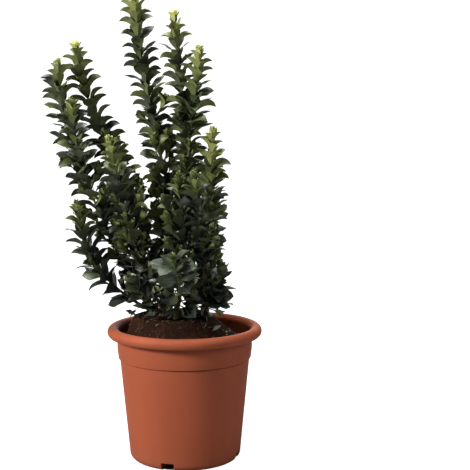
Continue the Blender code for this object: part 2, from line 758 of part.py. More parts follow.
def main():
    clear_scene()
    build_pot()
    build_soil()
    build_stems()
    routes = {name: shoot_route(shoot) for name, shoot in SHOOTS.items()}
    build_boughs(routes)
    build_masses(routes)


main()
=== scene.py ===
"""Potted Japanese spindle: its fine shapes and finishes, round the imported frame.

Metres, +Z up. The origin is the middle of the pot's flat underside, and -Y is the front.
Bearings are degrees in plan, counted from +X towards +Y.
"""
import json
import math
import random
from typing import NamedTuple

import bmesh
import bpy
import numpy as np
from bpy.props import FloatProperty, FloatVectorProperty, IntProperty, PointerProperty
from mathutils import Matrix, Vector, noise
from mathutils.geometry import interpolate_bezier

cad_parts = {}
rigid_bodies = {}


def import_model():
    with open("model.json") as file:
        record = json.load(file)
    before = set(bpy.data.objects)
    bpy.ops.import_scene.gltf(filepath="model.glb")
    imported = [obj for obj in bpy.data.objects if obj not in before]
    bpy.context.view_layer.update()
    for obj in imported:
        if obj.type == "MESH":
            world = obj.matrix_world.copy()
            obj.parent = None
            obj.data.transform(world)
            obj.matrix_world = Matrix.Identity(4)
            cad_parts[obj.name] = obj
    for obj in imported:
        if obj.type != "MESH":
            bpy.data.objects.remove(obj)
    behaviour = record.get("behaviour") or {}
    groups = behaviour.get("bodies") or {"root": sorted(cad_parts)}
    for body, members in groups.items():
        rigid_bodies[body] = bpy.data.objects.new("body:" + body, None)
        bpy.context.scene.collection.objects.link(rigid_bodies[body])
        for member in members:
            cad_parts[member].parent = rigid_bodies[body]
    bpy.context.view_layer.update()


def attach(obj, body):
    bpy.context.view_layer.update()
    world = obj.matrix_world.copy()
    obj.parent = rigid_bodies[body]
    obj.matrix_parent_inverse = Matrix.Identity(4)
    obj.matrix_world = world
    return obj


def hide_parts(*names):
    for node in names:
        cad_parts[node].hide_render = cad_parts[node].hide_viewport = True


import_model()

bl_info = {
    "name": "Potted Japanese Spindle",
    "version": (1, 0, 0),
    "blender": (4, 5, 0),
    "location": "View3D > Sidebar > Spindle",
    "description": "Pot, soil, stems and leaves of a potted Japanese spindle",
    "category": "Add Mesh",
}

MM = 0.001

# Pot, as in the solids: a pair is a radius and a height, and the roll's is its width and height
POT_HEIGHT = 174.6 * MM
RIM_RADIUS = 100.0 * MM
RIM_ROLL = (14.6 * MM, 14.4 * MM)
WALL = 2.0 * MM
FOOT_RADIUS = 71.4 * MM
FOOT_CORNER = 9.5 * MM
STEP = (84.0 * MM, 132.3 * MM)
STEP_RISE = 2.0 * MM
STEP_OUT = 1.9 * MM
STEP_GROOVE = 0.7 * MM
COLLAR = (87.4 * MM, 146.0 * MM)
ROLL_LIP = -52
ROLL_INNER_LIP = -40
DRAIN_COUNT = 4
DRAIN_BEARING = -108.6
DRAIN_WIDTH = 17.0 * MM
DRAIN_HEIGHT = 11.0 * MM
DRAIN_START = 22.0 * MM
DRAIN_HOLE_RADIUS = 4.0 * MM
DRAIN_HOLE_AT = 45.0 * MM

# Finer forms of the pot: steps of its foot's curve, how far under the ledge its groove starts and is
# at its deepest, and the ledge's own rise and rounded edge
FOOT_STEPS = 10
GROOVE_BELOW = (1.5 * MM, 0.9 * MM)
LEDGE_RISE = 0.2 * MM
LEDGE_EDGE = 0.45 * MM

# Soil
CLEARANCE = 0.3 * MM
SOIL_TOP = 188.0 * MM
SOIL_EDGE = 154.0 * MM
SOIL_RADIUS = COLLAR[0] - WALL - CLEARANCE
MOUND_CENTRE = Vector((-16 * MM, 0))
MOUND_RADIUS = 48 * MM
# How much more steeply the mound falls at first than on average, and how rounded its shoulder is
MOUND_STEEPNESS = 0.9
SHOULDER = 0.02
# The soil's underside and side, up to the step: radius and height
SOIL_BOTTOM = ((0.2 * MM, 13.4 * MM), (69.6 * MM, 13.4 * MM), (STEP[0] - WALL - CLEARANCE, STEP[1]))
SOIL_SIDES, SOIL_ROWS = 220, 110
# Clods, crumbs and grains: height, how many to a metre, and a level of the noise
CLODS = ((1.5 * MM, 90, 0), (0.9 * MM, 260, 0.5), (0.5 * MM, 700, 0.9))
CLOD_SINK = 0.6 * MM
# Bark chips, fine roots and crumbs: where they lie, between two shares of the way from the mound's
# centre to the wall, and their sizes in mm
CHIP_ZONE, FIBRE_ZONE, CRUMB_ZONE = (0.45, 1.0), (0.50, 0.98), (0.80, 1.0)
SMALL_CHIPS, LARGE_CHIPS, SMALL_SHARE = (0.7, 2.4), (2.4, 4.6), 0.8
CRUMB_SIZES = (0.6, 1.7)
FIBRE_LENGTHS, FIBRE_RADII = (4, 11), (0.12, 0.30)
FIBRE_BEND = 1.4
FIBRE_STEPS = 6
# Where half of the pale crumbs lie: bearings, and distances from the axis in mm
CRUMB_BEARINGS = (-50, -5)
CRUMB_REACH = (54, 76)
# Withered leaves on the soil: place in mm, bearing, length in mm, curl in degrees and roll, and
# then how high all their stalks lie, their lean at the stalk and their fold
FALLEN_LEAVES = ((-22, -45, 75, 21, -75, 0.5), (-60, -14, 190, 18, -50, -0.4), (24, -46, 100, 17, -65, 0.6),
                 (34, -42, 30, 15, -50, 0.3), (-50, 38, 300, 15, -45, 0.5))
FALLEN_RISE = 2.2 * MM
FALLEN_LEAN, FALLEN_FOLD = -8, 30

# Stems, boughs and twigs
STEM_RISE = 26.0 * MM
STEM_RADIUS = 3.9 * MM
STEM_TOP_RADIUS = 3.1 * MM
FLARE_RADIUS = 6.4 * MM
FLARE_RISE = 7.0 * MM
BOUGH_RADIUS = 2.5 * MM
BOUGH_TIP_RADIUS = 1.9 * MM
TWIG_RADIUS = 1.8 * MM
TWIG_TIP_RADIUS = 0.8 * MM
FORK_RADIUS = 1.2 * MM
SIDE_TWIG_RADII = (0.95 * MM, 0.5 * MM)
# How fine the bark's ridges are, to a metre along each axis
BARK_GRAIN = (900, 900, 180)


class Stem(NamedTuple):
    """A short main stem: its foot on the soil and its lean, in mm and run per rise."""
    foot: tuple
    lean: tuple


class Shoot(NamedTuple):
    """A leafy shoot: the stem and height it leaves at, its tip in mm, its leans and bare length.

    The shade goes into the name of its leaves' piece and, where no tone is given, gives its leaves'
    colours. The turn is where its leaf rows stand, in degrees. The size of its leaves, the
    spacing of its pairs and the number of its side twigs are each beside the usual one. Gold is
    how yellow its tip is, from 0 to 1, young is how far below the tip its leaves reach their full
    size, in mm, and open is how much wider than usual its leaves stand, in degrees. Bold leaves
    are large ones that stand out: height in mm, bearing and size. Sprays are side twigs at a
    given place: height in mm, bearing and length in mm.
    """
    stem: str
    up: float
    tip: tuple
    lean: tuple
    tip_lean: tuple
    bough: float
    shade: str
    turn: float = 0.0
    size: float = 1.0
    gold: float = 0.0
    young: float = 34.0
    open: float = 0.0
    spacing: float = 1.0
    twigs: float = 1.0
    tone: str = ""
    bold: tuple = ()
    sprays: tuple = ()


class Fork(NamedTuple):
    """A second leader that leaves a shoot at a share of its length, with its bold leaves."""
    along: float
    tip: tuple
    lean: tuple
    tip_lean: tuple
    bold: tuple = ()


STEMS = {
    "west": Stem((-40, 2), (-0.55, 0.0)),
    "middle": Stem((-28, -9), (-0.05, 0.12)),
    "front": Stem((-12, -22), (0.13, -0.10)),
    "back": Stem((-20, 10), (0.14, 0.0)),
    "centre": Stem((3, -4), (0.12, 0.05)),
    "back_east": Stem((6, 17), (0.03, 0.30)),
    "east": Stem((25, -5), (0.03, -0.14)),
}

SHOOTS = {
    "spire_west": Shoot(
        "west", 1.0, (-160, 15, 516), None, (-0.02, 0.03), 26, "green", turn=8, size=1.04, gold=0.35,
        bold=((474, 188, 1.20), (452, 176, 1.15), (431, 190, 1.1))),
    "spire_gold": Shoot(
        "middle", 1.0, (-139, 40, 538), None, (-0.06, 0.01), 26, "light", turn=-6, size=1.05, gold=1.0,
        tone="fresh"),
    "spire_pale": Shoot(
        "middle", 0.25, (-93, -45, 420), (-0.50, -0.16), (-0.20, -0.14), 32, "light", turn=20, gold=0.4,
        tone="green", sprays=((318, 350, 40), (296, 10, 38))),
    "spire_low_west": Shoot(
        "west", 0.15, (-136, -25, 339), (-1.73, -0.33), (-0.19, -0.05), 26, "dark", turn=-8, gold=0.1,
        spacing=1.15, twigs=0.6, tone="green"),
    "spire_tall": Shoot(
        "back", 1.0, (-61, 20, 590), None, (-0.02, -0.04), 26, "green", turn=4, size=1.05, gold=0.7,
        young=10, bold=((462, 330, 1.15), (476, 350, 1.1)),
        sprays=((350, 205, 32), (326, 195, 38), (304, 190, 42), (440, 340, 34))),
    "spire_centre": Shoot(
        "centre", 1.0, (-12, -5, 574), None, (-0.08, 0.01), 26, "green", turn=-12, size=0.98, gold=1.0,
        tone="fresh"),
    "spire_east": Shoot(
        "east", 1.0, (36, -40, 431), None, (0.05, -0.05), 24, "light", turn=10, size=0.98, gold=0.35,
        twigs=0.7, bold=((366, 0, 1.15), (352, 350, 1.1))),
    "spire_front_east": Shoot(
        "centre", 0.2, (11, -62, 378), (0.66, -0.30), (-0.09, -0.12), 34, "green", turn=30, tone="dark",
        sprays=((214, 250, 34), (222, 290, 34), (206, 200, 32), (208, 320, 30), (200, 300, 28),
                (200, 240, 28), (199, 270, 30))),
    "spire_front": Shoot(
        "front", 1.0, (-8, -50, 376), None, (-0.15, -0.10), 24, "dark", turn=-25,
        sprays=((290, 200, 36), (268, 185, 34), (246, 210, 32), (262, 265, 34), (247, 300, 34),
                (240, 180, 36), (240, 240, 36), (228, 200, 32), (222, 290, 32), (232, 330, 34),
                (226, 245, 30), (318, 185, 40), (300, 195, 36))),
    "sprig_front": Shoot(
        "front", 0.3, (-15, -88, 279), (0.50, -0.75), (-0.10, -0.60), 0, "light", turn=35, open=26,
        spacing=3.0, twigs=0.0, tone="oldest",
        bold=((256, 170, 1.16), (263, 236, 0.95), (256, 345, 0.98), (243, 352, 0.90), (267, 25, 0.88),
              (240, 200, 1.0)),
        sprays=((222, 190, 34), (224, 340, 34), (230, 255, 32), (236, 30, 34), (206, 215, 32),
                (206, 320, 32), (204, 268, 28), (212, 175, 34), (212, 5, 34))),
    "sprig_east": Shoot(
        "east", 0.3, (51, -20, 258), (0.80, -0.25), (0.45, -0.05), 0, "dark", turn=15, size=1.08, open=22,
        spacing=1.5, twigs=0.3, tone="old"),
    "spire_back_west": Shoot(
        "west", 0.45, (-100, 56, 362), (-0.62, 0.60), (-0.15, 0.15), 30, "dark", turn=40),
    "spire_back": Shoot(
        "back_east", 1.0, (0, 84, 470), None, (-0.04, 0.12), 26, "green", turn=12, gold=0.5),
    "spire_mid_back": Shoot(
        "back", 0.45, (-90, 74, 418), (-0.50, 0.62), (-0.16, 0.10), 32, "green", turn=52),
    "spire_back_east": Shoot(
        "back_east", 0.5, (36, 66, 402), (0.55, 0.30), (0.02, 0.12), 32, "green", turn=33, twigs=0.7),
    "spire_low_back": Shoot(
        "back", 0.12, (-28, 100, 332), (0.10, 1.25), (-0.05, 0.25), 32, "dark", turn=5,
        sprays=((196, 340, 30), (200, 10, 30), (206, 350, 32))),
    "spire_low_east": Shoot(
        "back_east", 0.2, (30, 32, 336), (0.92, 0.12), (0.02, 0.05), 32, "dark", turn=48, twigs=0.5,
        sprays=((197, 285, 28), (201, 320, 30), (206, 250, 30), (199, 0, 28))),
    "skirt_front_west": Shoot(
        "middle", 0.1, (-66, -56, 248), (-0.80, -1.00), (-0.45, -0.60), 0, "dark", turn=20, spacing=1.2,
        tone="old", sprays=((214, 350, 34), (222, 330, 36), (230, 20, 36), (206, 340, 34), (208, 20, 34))),
    "skirt_back_west": Shoot(
        "west", 0.1, (-72, 62, 250), (-0.10, 1.30), (-0.50, 0.80), 0, "dark", turn=60),
    "skirt_front_east": Shoot(
        "east", 0.1, (42, -56, 246), (0.30, -1.20), (0.25, -0.60), 0, "dark", turn=10, spacing=1.2,
        tone="old", sprays=((208, 190, 34), (216, 170, 36), (204, 240, 30), (200, 200, 28), (198, 265, 30),
                            (200, 330, 30))),
    "skirt_back_east": Shoot(
        "back_east", 0.1, (34, 78, 250), (0.30, 1.50), (0.50, 0.80), 0, "dark", turn=35),
}

FORKS = {
    "spire_west": Fork(0.52, (-138, -30, 466), (-0.20, -0.75), (0.05, -0.30)),
    "spire_centre": Fork(0.55, (20, -28, 530), (0.15, -0.50), (0.08, -0.08),
                         ((440, 5, 1.45), (416, 355, 1.4), (428, 335, 1.1))),
}

# Leaf colours by age, from the bud to the oldest, then dull ones and shaded ones, the last painted shade for
# the lowest leaves: upper side, underside, how glossy
LEAF_COLOURS = {
    "bud": ((0.72, 0.66, 0.17), (0.74, 0.68, 0.22), 0.0),
    "pale": ((0.35, 0.38, 0.11), (0.39, 0.42, 0.15), 0.0),
    "new": ((0.148, 0.168, 0.043), (0.186, 0.206, 0.064), 0.05),
    "young": ((0.074, 0.093, 0.027), (0.118, 0.137, 0.046), 0.08),
    "green": ((0.041, 0.053, 0.020), (0.083, 0.097, 0.042), 0.12),
    "deep": ((0.025, 0.035, 0.020), (0.055, 0.064, 0.036), 0.18),
    "dark": ((0.016, 0.023, 0.015), (0.035, 0.042, 0.027), 0.20),
    # Shaded: not an age but painted shade, for leaves deep in the low crown
    "shaded": ((0.007, 0.011, 0.007), (0.014, 0.018, 0.011), 0.10),
    "dull": ((0.020, 0.030, 0.014), (0.046, 0.057, 0.028), 0.0),
}
AGES = list(LEAF_COLOURS)


class Shade(NamedTuple):
    """How the leaves of a shoot change colour.

    They are new, then young, as far below a tip as given in mm, and then take one of the grown
    colours. Below a height in m, the leaves of the low crown are painted darker, as painted shade.
    """
    new: float
    young: float
    grown: tuple
    # Height in m below which leaves are painted darker, as painted shade
    low: float = 0.42


SHADES = {
    "light": Shade(34, 150, ("young", "green", "green", "deep"), 0.33),
    "fresh": Shade(22, 60, ("young", "green", "green", "deep")),
    "green": Shade(13, 40, ("young", "green", "green", "deep", "deep")),
    "dark": Shade(4, 24, ("green", "deep", "deep", "dark")),
    "old": Shade(0, 6, ("green", "deep", "deep", "dark")),
    "oldest": Shade(0, 4, ("dull", "dull", "dull", "dark")),
}
# Painted shade: darker colours for the leaves low in the crown, and the darkest for the lowest of all
SHADE_PAINTED_LOW_LEAVES = ("green", "deep", "deep", "dark", "dark", "dark")
SHADE_PAINTED_LOWEST_LEAVES = ("deep", "dark", "shaded", "shaded")


class PotLook(bpy.types.PropertyGroup):
    """Fineness and finish of the pot."""
    segments: IntProperty(name="Segments", description="Flat strips round the pot", default=192, min=24)
    colour: FloatVectorProperty(name="Colour", description="Base colour of the moulded plastic",
                                subtype="COLOR", size=3, min=0, max=1, default=(0.250, 0.060, 0.027))
    roughness: FloatProperty(name="Roughness", description="Roughness of the moulded plastic",
                             subtype="FACTOR", default=0.58, min=0, max=1)


class SoilLook(bpy.types.PropertyGroup):
    """Colour and loose bits of the soil."""
    colour: FloatVectorProperty(name="Colour", description="Base colour of the damp compost",
                                subtype="COLOR", size=3, min=0, max=1, default=(0.020, 0.0083, 0.0045))
    chips: IntProperty(name="Bark Chips", description="Flat chips of bark on the soil", default=520, min=0)
    fibres: IntProperty(name="Fibres", description="Fine roots and straws on the soil", default=34, min=0)
    crumbs: IntProperty(name="Pale Crumbs", description="Pale mineral crumbs on the soil", default=46, min=0)


class StemLook(bpy.types.PropertyGroup):
    """Finish of the stems, boughs and twigs."""
    bark: FloatVectorProperty(name="Bark", description="Base colour of the woody stems",
                              subtype="COLOR", size=3, min=0, max=1, default=(0.095, 0.066, 0.040))
    twig: FloatVectorProperty(name="Twig", description="Base colour of the green twigs",
                              subtype="COLOR", size=3, min=0, max=1, default=(0.085, 0.105, 0.035))
    relief: FloatProperty(name="Bark Relief", description="Height of the bark's ridges",
                          subtype="DISTANCE", unit="LENGTH", default=0.28 * MM, min=0)


class LeafLook(bpy.types.PropertyGroup):
    """Sizes and growth of the leaves."""
    length: FloatProperty(name="Length", description="Length of a full-grown leaf with its stalk",
                          subtype="DISTANCE", unit="LENGTH", default=31 * MM, min=0)
    width: FloatProperty(name="Width", description="Widest part of a leaf, as a share of its length",
                         subtype="FACTOR", default=0.60, min=0.1, max=1)
    pitch: FloatProperty(name="Pitch", description="Distance from one pair of leaves to the next",
                         subtype="DISTANCE", unit="LENGTH", default=6.4 * MM, min=1 * MM)
    side_twigs: FloatProperty(name="Side Twigs", description="Chance of a side twig at each joint",
                              subtype="FACTOR", default=0.62, min=0, max=1)
    seed: IntProperty(name="Seed", description="Seed of the growth", default=11)


class StageLook(bpy.types.PropertyGroup):
    """Light and floor."""
    key: FloatProperty(name="Key Light", description="Power of the soft light from the left",
                       unit="POWER", default=100, min=0)
    top: FloatProperty(name="Top Light", description="Power of the soft light overhead",
                       unit="POWER", default=80, min=0)
    back: FloatProperty(name="Back Light", description="Power of the soft light behind the plant",
                        unit="POWER", default=9, min=0)
    fill: FloatProperty(name="Fill Light", description="Power of the soft light from the right",
                        unit="POWER", default=17, min=0)
    room: FloatProperty(name="Room Light", description="Brightness of the white room", default=0.08, min=0)


LOOKS = {"pot": PotLook, "soil": SoilLook, "stems": StemLook, "leaves": LeafLook, "stage": StageLook}


def look(name):
    """The settings of one group."""
    return getattr(bpy.context.scene, "spindle_" + name)


class Wire:
    """The output of a node; arithmetic on it adds the Math nodes that do it."""

    def __init__(self, finish, socket):
        self.finish = finish
        self.socket = socket

    def maths(self, operation, *values):
        """The output of a Math node on these values."""
        return self.finish.node("ShaderNodeMath", {"operation": operation}, dict(enumerate(values)))

    def __add__(self, other):
        return self.maths("ADD", self, other)

    def __sub__(self, other):
        return self.maths("SUBTRACT", self, other)

    def __rsub__(self, other):
        return self.maths("SUBTRACT", other, self)

    def __mul__(self, other):
        return self.maths("MULTIPLY", self, other)

    __radd__ = __add__
    __rmul__ = __mul__


class Finish:
    """A procedural material while it is being made."""

    def __init__(self, name, roughness=0.5, **constants):
        self.made = bpy.data.materials.new(name)
        self.made.use_nodes = True
        self.tree = self.made.node_tree
        self.shader = self.tree.nodes["Principled BSDF"]
        self.set("Roughness", roughness)
        for socket, value in constants.items():
            self.set(socket.replace("_", " ").title().replace("Ior", "IOR"), value)

    def node(self, kind, settings=(), inputs=(), output=0):
        """Add a node with its settings, then its values and links, and return one output."""
        made = self.tree.nodes.new(kind)
        for name, value in dict(settings).items():
            if name == "stops":
                ramp = made.color_ramp
                while len(ramp.elements) < len(value):
                    ramp.elements.new(1.0)
                for element, (position, colour) in zip(ramp.elements, value):
                    element.position = position
                    element.color = (*colour, 1.0)
            else:
                setattr(made, name, value)
        for key, value in dict(inputs).items():
            self.put(made.inputs[key], value)
        return Wire(self, made.outputs[output])

    def put(self, socket, value):
        """Link a wire to a socket, or set its value."""
        if isinstance(value, Wire):
            self.tree.links.new(value.socket, socket)
        elif socket.type == "RGBA":
            socket.default_value = (*value, 1.0)
        else:
            socket.default_value = value

    def set(self, name, value):
        """Set or link one socket of the shader."""
        self.put(self.shader.inputs[name], value)

    def place(self, stretch=(1, 1, 1)):
        """Place on the piece, stretched by a factor along each axis."""
        where = self.node("ShaderNodeTexCoord", output="Object")
        return self.node("ShaderNodeVectorMath", {"operation": "MULTIPLY"}, {0: where, 1: stretch})

    def noise(self, scale, detail, roughness=0.5, stretch=(1, 1, 1)):
        """Cloudy noise from 0 to 1."""
        return self.node("ShaderNodeTexNoise", inputs={"Vector": self.place(stretch), "Scale": scale,
                                                       "Detail": detail, "Roughness": roughness})

    def cells(self, scale):
        """Distance to the nearest of many scattered points."""
        return self.node("ShaderNodeTexVoronoi", inputs={"Vector": self.place(), "Scale": scale})

    def ramp(self, amount, *stops):
        """A colour by an amount, from stops of a position and a colour."""
        return self.node("ShaderNodeValToRGB", {"stops": stops}, {"Fac": amount})

    def band(self, amount, low, high, out_low=0.0, out_high=1.0):
        """An amount brought from one range to another, and kept in it."""
        return self.node("ShaderNodeMapRange", {"clamp": True}, {
            "Value": amount, "From Min": low, "From Max": high, "To Min": out_low, "To Max": out_high})

    def mix(self, amount, first, second):
        """One colour blended into another."""
        return self.node("ShaderNodeMix", {"data_type": "RGBA"}, {0: amount, 6: first, 7: second}, 2)

    def shades(self, amount, colour, darkest, lightest):
        """A colour made darker and lighter by an amount, between two factors."""
        return self.mix(amount, scaled(colour, darkest), scaled(colour, lightest))

    def rough(self, amount, low, high):
        """Set how rough the skin is, from low to high by the middle range of a noise."""
        self.set("Roughness", self.band(amount, 0.3, 0.7, low, high))

    def bump(self, height, distance, strength):
        """Feed a height in the range 0 to 1 to the shader's normal."""
        self.set("Normal", self.node("ShaderNodeBump", inputs={
            "Height": height, "Distance": distance, "Strength": strength}))


def scaled(colour, factor):
    """A colour made lighter or darker by a factor."""
    return tuple(min(1.0, channel * factor) for channel in colour)


def pot_finish():
    """Satin moulded plastic with faint vertical flow marks and a little dust at its foot."""
    finish = Finish("terracotta_plastic", specular_ior_level=0.10)
    colour = tuple(look("pot").colour)
    flow = finish.noise(38, 4, 0.6, (1, 1, 0.12))
    cloud = finish.noise(14, 3)
    shade = finish.shades(finish.band(flow * 0.5 + cloud * 0.5, 0.3, 0.7), colour, 0.90, 1.08)
    height = finish.node("ShaderNodeSeparateXYZ", inputs={0: finish.place()}, output=2)
    dust = finish.band(height, 0.0, 26 * MM, 0.30, 0.0) * finish.band(finish.noise(70, 5), 0.40, 0.75)
    finish.set("Base Color", finish.mix(dust, shade, (0.20, 0.10, 0.07)))
    finish.rough(cloud, look("pot").roughness - 0.05, look("pot").roughness + 0.07)
    finish.bump(flow * 0.7 + finish.noise(900, 2) * 0.3, 0.10 * MM, 0.6)
    return finish.made


def soil_finish():
    """Dark damp compost with lighter fibrous streaks and crumbs."""
    finish = Finish("compost", specular_ior_level=0.04)
    colour = tuple(look("soil").colour)
    streak = finish.noise(260, 6, 0.7, (1, 1, 0.35))
    clump = finish.noise(60, 5, 0.6)
    tone = finish.ramp(streak * 0.6 + clump * 0.4, (0.35, scaled(colour, 0.45)), (0.52, colour),
                       (0.64, scaled(colour, 2.0)), (0.80, (0.085, 0.045, 0.026)))
    finish.set("Base Color", tone)
    finish.set("Roughness", finish.band(clump, 0.35, 0.65, 0.72, 0.98))
    finish.bump(streak * 0.6 + finish.cells(420) * 0.4, 1.2 * MM, 0.9)
    return finish.made


def bits_finish(name, colour, roughness):
    """Chips, fibres or crumbs, of one plain colour with a little grain."""
    finish = Finish(name)
    grain = finish.noise(900, 4, 0.6)
    finish.set("Base Color", finish.shades(grain, colour, 0.55, 1.35))
    finish.rough(grain, roughness, roughness + 0.15)
    finish.bump(grain, 0.25 * MM, 0.8)
    return finish.made


def bark_finish():
    """Grey-brown bark with fine lengthwise cracks."""
    finish = Finish("bark")
    colour = tuple(look("stems").bark)
    cracks = finish.noise(420, 6, 0.65, (1, 1, 0.22))
    blotch = finish.noise(120, 3)
    tone = finish.shades(finish.band(cracks, 0.35, 0.65), colour, 0.45, 1.45)
    finish.set("Base Color", finish.mix(finish.band(blotch, 0.5, 0.75, 0, 0.6), tone, (0.11, 0.11, 0.07)))
    finish.rough(blotch, 0.70, 0.92)
    finish.bump(cracks, 0.5 * MM, 0.9)
    return finish.made


def twig_finish(name, colour):
    """Green or browning bark of a young twig."""
    finish = Finish(name)
    streak = finish.noise(600, 4, 0.6, (1, 1, 0.25))
    finish.set("Base Color", finish.shades(streak, colour, 0.65, 1.35))
    finish.rough(streak, 0.42, 0.60)
    finish.bump(streak, 0.12 * MM, 0.6)
    return finish.made


def leaf_finish(name, colour, roughness, gloss):
    """Waxy leaf skin of one plain colour, with fine mottling and a faint net of veins."""
    finish = Finish(name, coat_weight=gloss, coat_roughness=0.36, specular_ior_level=0.34)
    mottle = finish.noise(240, 4, 0.6)
    net = finish.cells(520)
    finish.set("Base Color", finish.shades(finish.band(mottle, 0.3, 0.7), colour, 0.88, 1.12))
    finish.rough(mottle, roughness - 0.05, roughness + 0.07)
    finish.bump(net * 0.5 + mottle * 0.5, 0.08 * MM, 0.25)
    return finish.made


def floor_finish():
    """Plain white paper, lit from within to the eye, and in the pot's shade right under it."""
    finish = Finish("white_paper", roughness=0.95, emission_strength=1.0)
    finish.set("Base Color", (0.25, 0.25, 0.25))
    reach = finish.node("ShaderNodeVectorMath", {"operation": "LENGTH"}, {0: finish.place((1, 1, 0))},
                        "Value")
    seen = finish.node("ShaderNodeLightPath", output="Is Camera Ray")
    foot = FOOT_RADIUS - FOOT_CORNER
    white = seen * finish.band(reach, foot - 1 * MM, foot + 1 * MM)
    finish.set("Emission Color", finish.mix(white, (0.0, 0.0, 0.0), (0.95, 0.95, 0.95)))
    return finish.made


class Skin:
    """Points, faces and finishes of one piece while it is being made."""

    def __init__(self):
        self.points = []
        self.corners = []
        self.sizes = []
        self.finishes = []
        self.count = 0

    def add(self, points, faces, finish):
        """Add points with the faces on them, all of one finish."""
        points = np.asarray(points, dtype=np.float64).reshape(-1, 3)
        self.points.append(points)
        for face in faces:
            self.corners.append(np.asarray(face) + self.count)
            self.sizes.append(len(face))
        self.finishes += [finish] * len(faces)
        self.count += len(points)

    def tube(self, rings, finish=0):
        """Add a closed tube through rings of the same number of points."""
        sides = len(rings[0])
        faces = []
        for row in range(len(rings) - 1):
            for i in range(sides):
                j = (i + 1) % sides
                low, high = row * sides, (row + 1) * sides
                faces.append((low + i, low + j, high + j, high + i))
        faces.append(tuple(reversed(range(sides))))
        faces.append(tuple(range((len(rings) - 1) * sides, len(rings) * sides)))
        self.add(np.array(rings), faces, finish)

    def piece(self, name, materials, smooth_below):
        """The finished object, smooth across edges that bend less than an angle."""
        return new_piece(name, np.concatenate(self.points), np.concatenate(self.corners),
                         np.array(self.sizes), np.array(self.finishes), materials, smooth_below)


def placed(name, data):
    """A new object in the scene, made of this data."""
    made = bpy.data.objects.new(name, data)
    bpy.context.scene.collection.objects.link(made)
    return made


def new_piece(name, points, corners, sizes, finishes, materials, smooth_below):
    """An object from arrays of points, face corners, face sizes and finishes."""
    mesh = bpy.data.meshes.new(name)
    mesh.vertices.add(len(points))
    mesh.vertices.foreach_set("co", points.astype(np.float32).ravel())
    mesh.loops.add(len(corners))
    mesh.loops.foreach_set("vertex_index", corners.astype(np.int32))
    mesh.polygons.add(len(sizes))
    mesh.polygons.foreach_set("loop_start", (np.cumsum(sizes) - sizes).astype(np.int32))
    for made in materials:
        mesh.materials.append(made)
    mesh.polygons.foreach_set("material_index", finishes.astype(np.int32))
    mesh.update(calc_edges=True)
    mesh.validate()
    mesh.shade_smooth()
    mesh.set_sharp_from_angle(angle=math.radians(smooth_below))
    return placed(name, mesh)


def belongs(piece, slot, *nodes):
    """Tie a piece to the plant's one body and hide the solids that it stands for; its slot is not used."""
    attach(piece, "root")
    if nodes:
        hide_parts(*nodes)


def arc(centre, radii, start, end, steps):
    """Points of part of an ellipse in a (radius, height) plane, between two angles."""
    angles = [math.radians(start + (end - start) * i / steps) for i in range(steps + 1)]
    return [(centre[0] + radii[0] * math.cos(a), centre[1] + radii[1] * math.sin(a)) for a in angles]


def rounded(profile, corner, radius, steps=4):
    """A profile with one of its corners rounded by a short curve."""
    before, at, after = (Vector(profile[corner + i]) for i in (-1, 0, 1))
    start = at + (before - at).normalized() * radius
    end = at + (after - at).normalized() * radius
    curve = [start.lerp(at, t).lerp(at.lerp(end, t), t) for t in (i / steps for i in range(steps + 1))]
    return profile[:corner] + [tuple(point) for point in curve] + profile[corner + 1:]


def wall_profile(inset):
    """The wall from its foot corner to the top of its collar, moved inward by an inset."""
    slope = (STEP[0] - FOOT_RADIUS) / STEP[1]
    corner = FOOT_CORNER - inset
    corner_radius = FOOT_RADIUS + slope * FOOT_CORNER - FOOT_CORNER
    profile = arc((corner_radius, FOOT_CORNER), (corner, corner), -90, 0, FOOT_STEPS)
    ledge = STEP[1] + STEP_RISE / 2
    groove = STEP_GROOVE if inset == 0 else 0
    face = STEP[0] - inset
    last = len(profile)
    profile += [(face, ledge - GROOVE_BELOW[0]), (face - groove, ledge - GROOVE_BELOW[1]),
                (face - groove, ledge), (STEP[0] + STEP_OUT - inset, ledge + LEDGE_RISE),
                (COLLAR[0] - inset, COLLAR[1])]
    return rounded(profile, last + 3, LEDGE_EDGE)


def rim_profile():
    """The rolled rim: up inside the roll, round its open lip, over the top and down again."""
    across, high = RIM_ROLL[0] / 2, RIM_ROLL[1] / 2
    centre = (RIM_RADIUS - across, POT_HEIGHT - high)
    hollow = arc(centre, (across - WALL, high - WALL), 180, ROLL_INNER_LIP, 24)
    outside = arc(centre, (across, high), ROLL_LIP, 180, 40)
    return [(COLLAR[0], centre[1] - high)] + hollow + outside


def turned(name, profile, segments):
    """A body turned about Z from (radius, height) points that begin and end on the axis."""
    mesh = bmesh.new()
    verts = [mesh.verts.new((radius, 0.0, height)) for radius, height in profile]
    edges = [mesh.edges.new(pair) for pair in zip(verts, verts[1:])]
    bmesh.ops.spin(mesh, geom=verts + edges, cent=(0, 0, 0), axis=(0, 0, 1),
                   angle=math.tau, steps=segments, use_merge=True)
    bmesh.ops.remove_doubles(mesh, verts=mesh.verts, dist=1e-6)
    return linked(name, mesh)


def linked(name, mesh):
    """An object from a bmesh, with its faces turned outward."""
    bmesh.ops.recalc_face_normals(mesh, faces=mesh.faces)
    data = bpy.data.meshes.new(name)
    mesh.to_mesh(data)
    mesh.free()
    return placed(name, data)


def combine(thing, others, operation):
    """One exact Boolean of an object with a collection of others, which are then removed."""
    group = bpy.data.collections.new(thing.name + "_" + operation.lower())
    bpy.context.scene.collection.children.link(group)
    for other in others:
        bpy.context.scene.collection.objects.unlink(other)
        group.objects.link(other)
    step = thing.modifiers.new(operation.lower(), "BOOLEAN")
    step.operation = operation
    step.operand_type = "COLLECTION"
    step.collection = group
    step.solver = "EXACT"
    graph = bpy.context.evaluated_depsgraph_get()
    mesh = bpy.data.meshes.new_from_object(thing.evaluated_get(graph))
    thing.modifiers.clear()
    thing.data = mesh
    for other in list(group.objects):
        bpy.data.objects.remove(other, do_unlink=True)
    bpy.data.collections.remove(group)


def toward(bearing):
    """The level direction at a bearing in radians."""
    return Vector((math.cos(bearing), math.sin(bearing), 0))


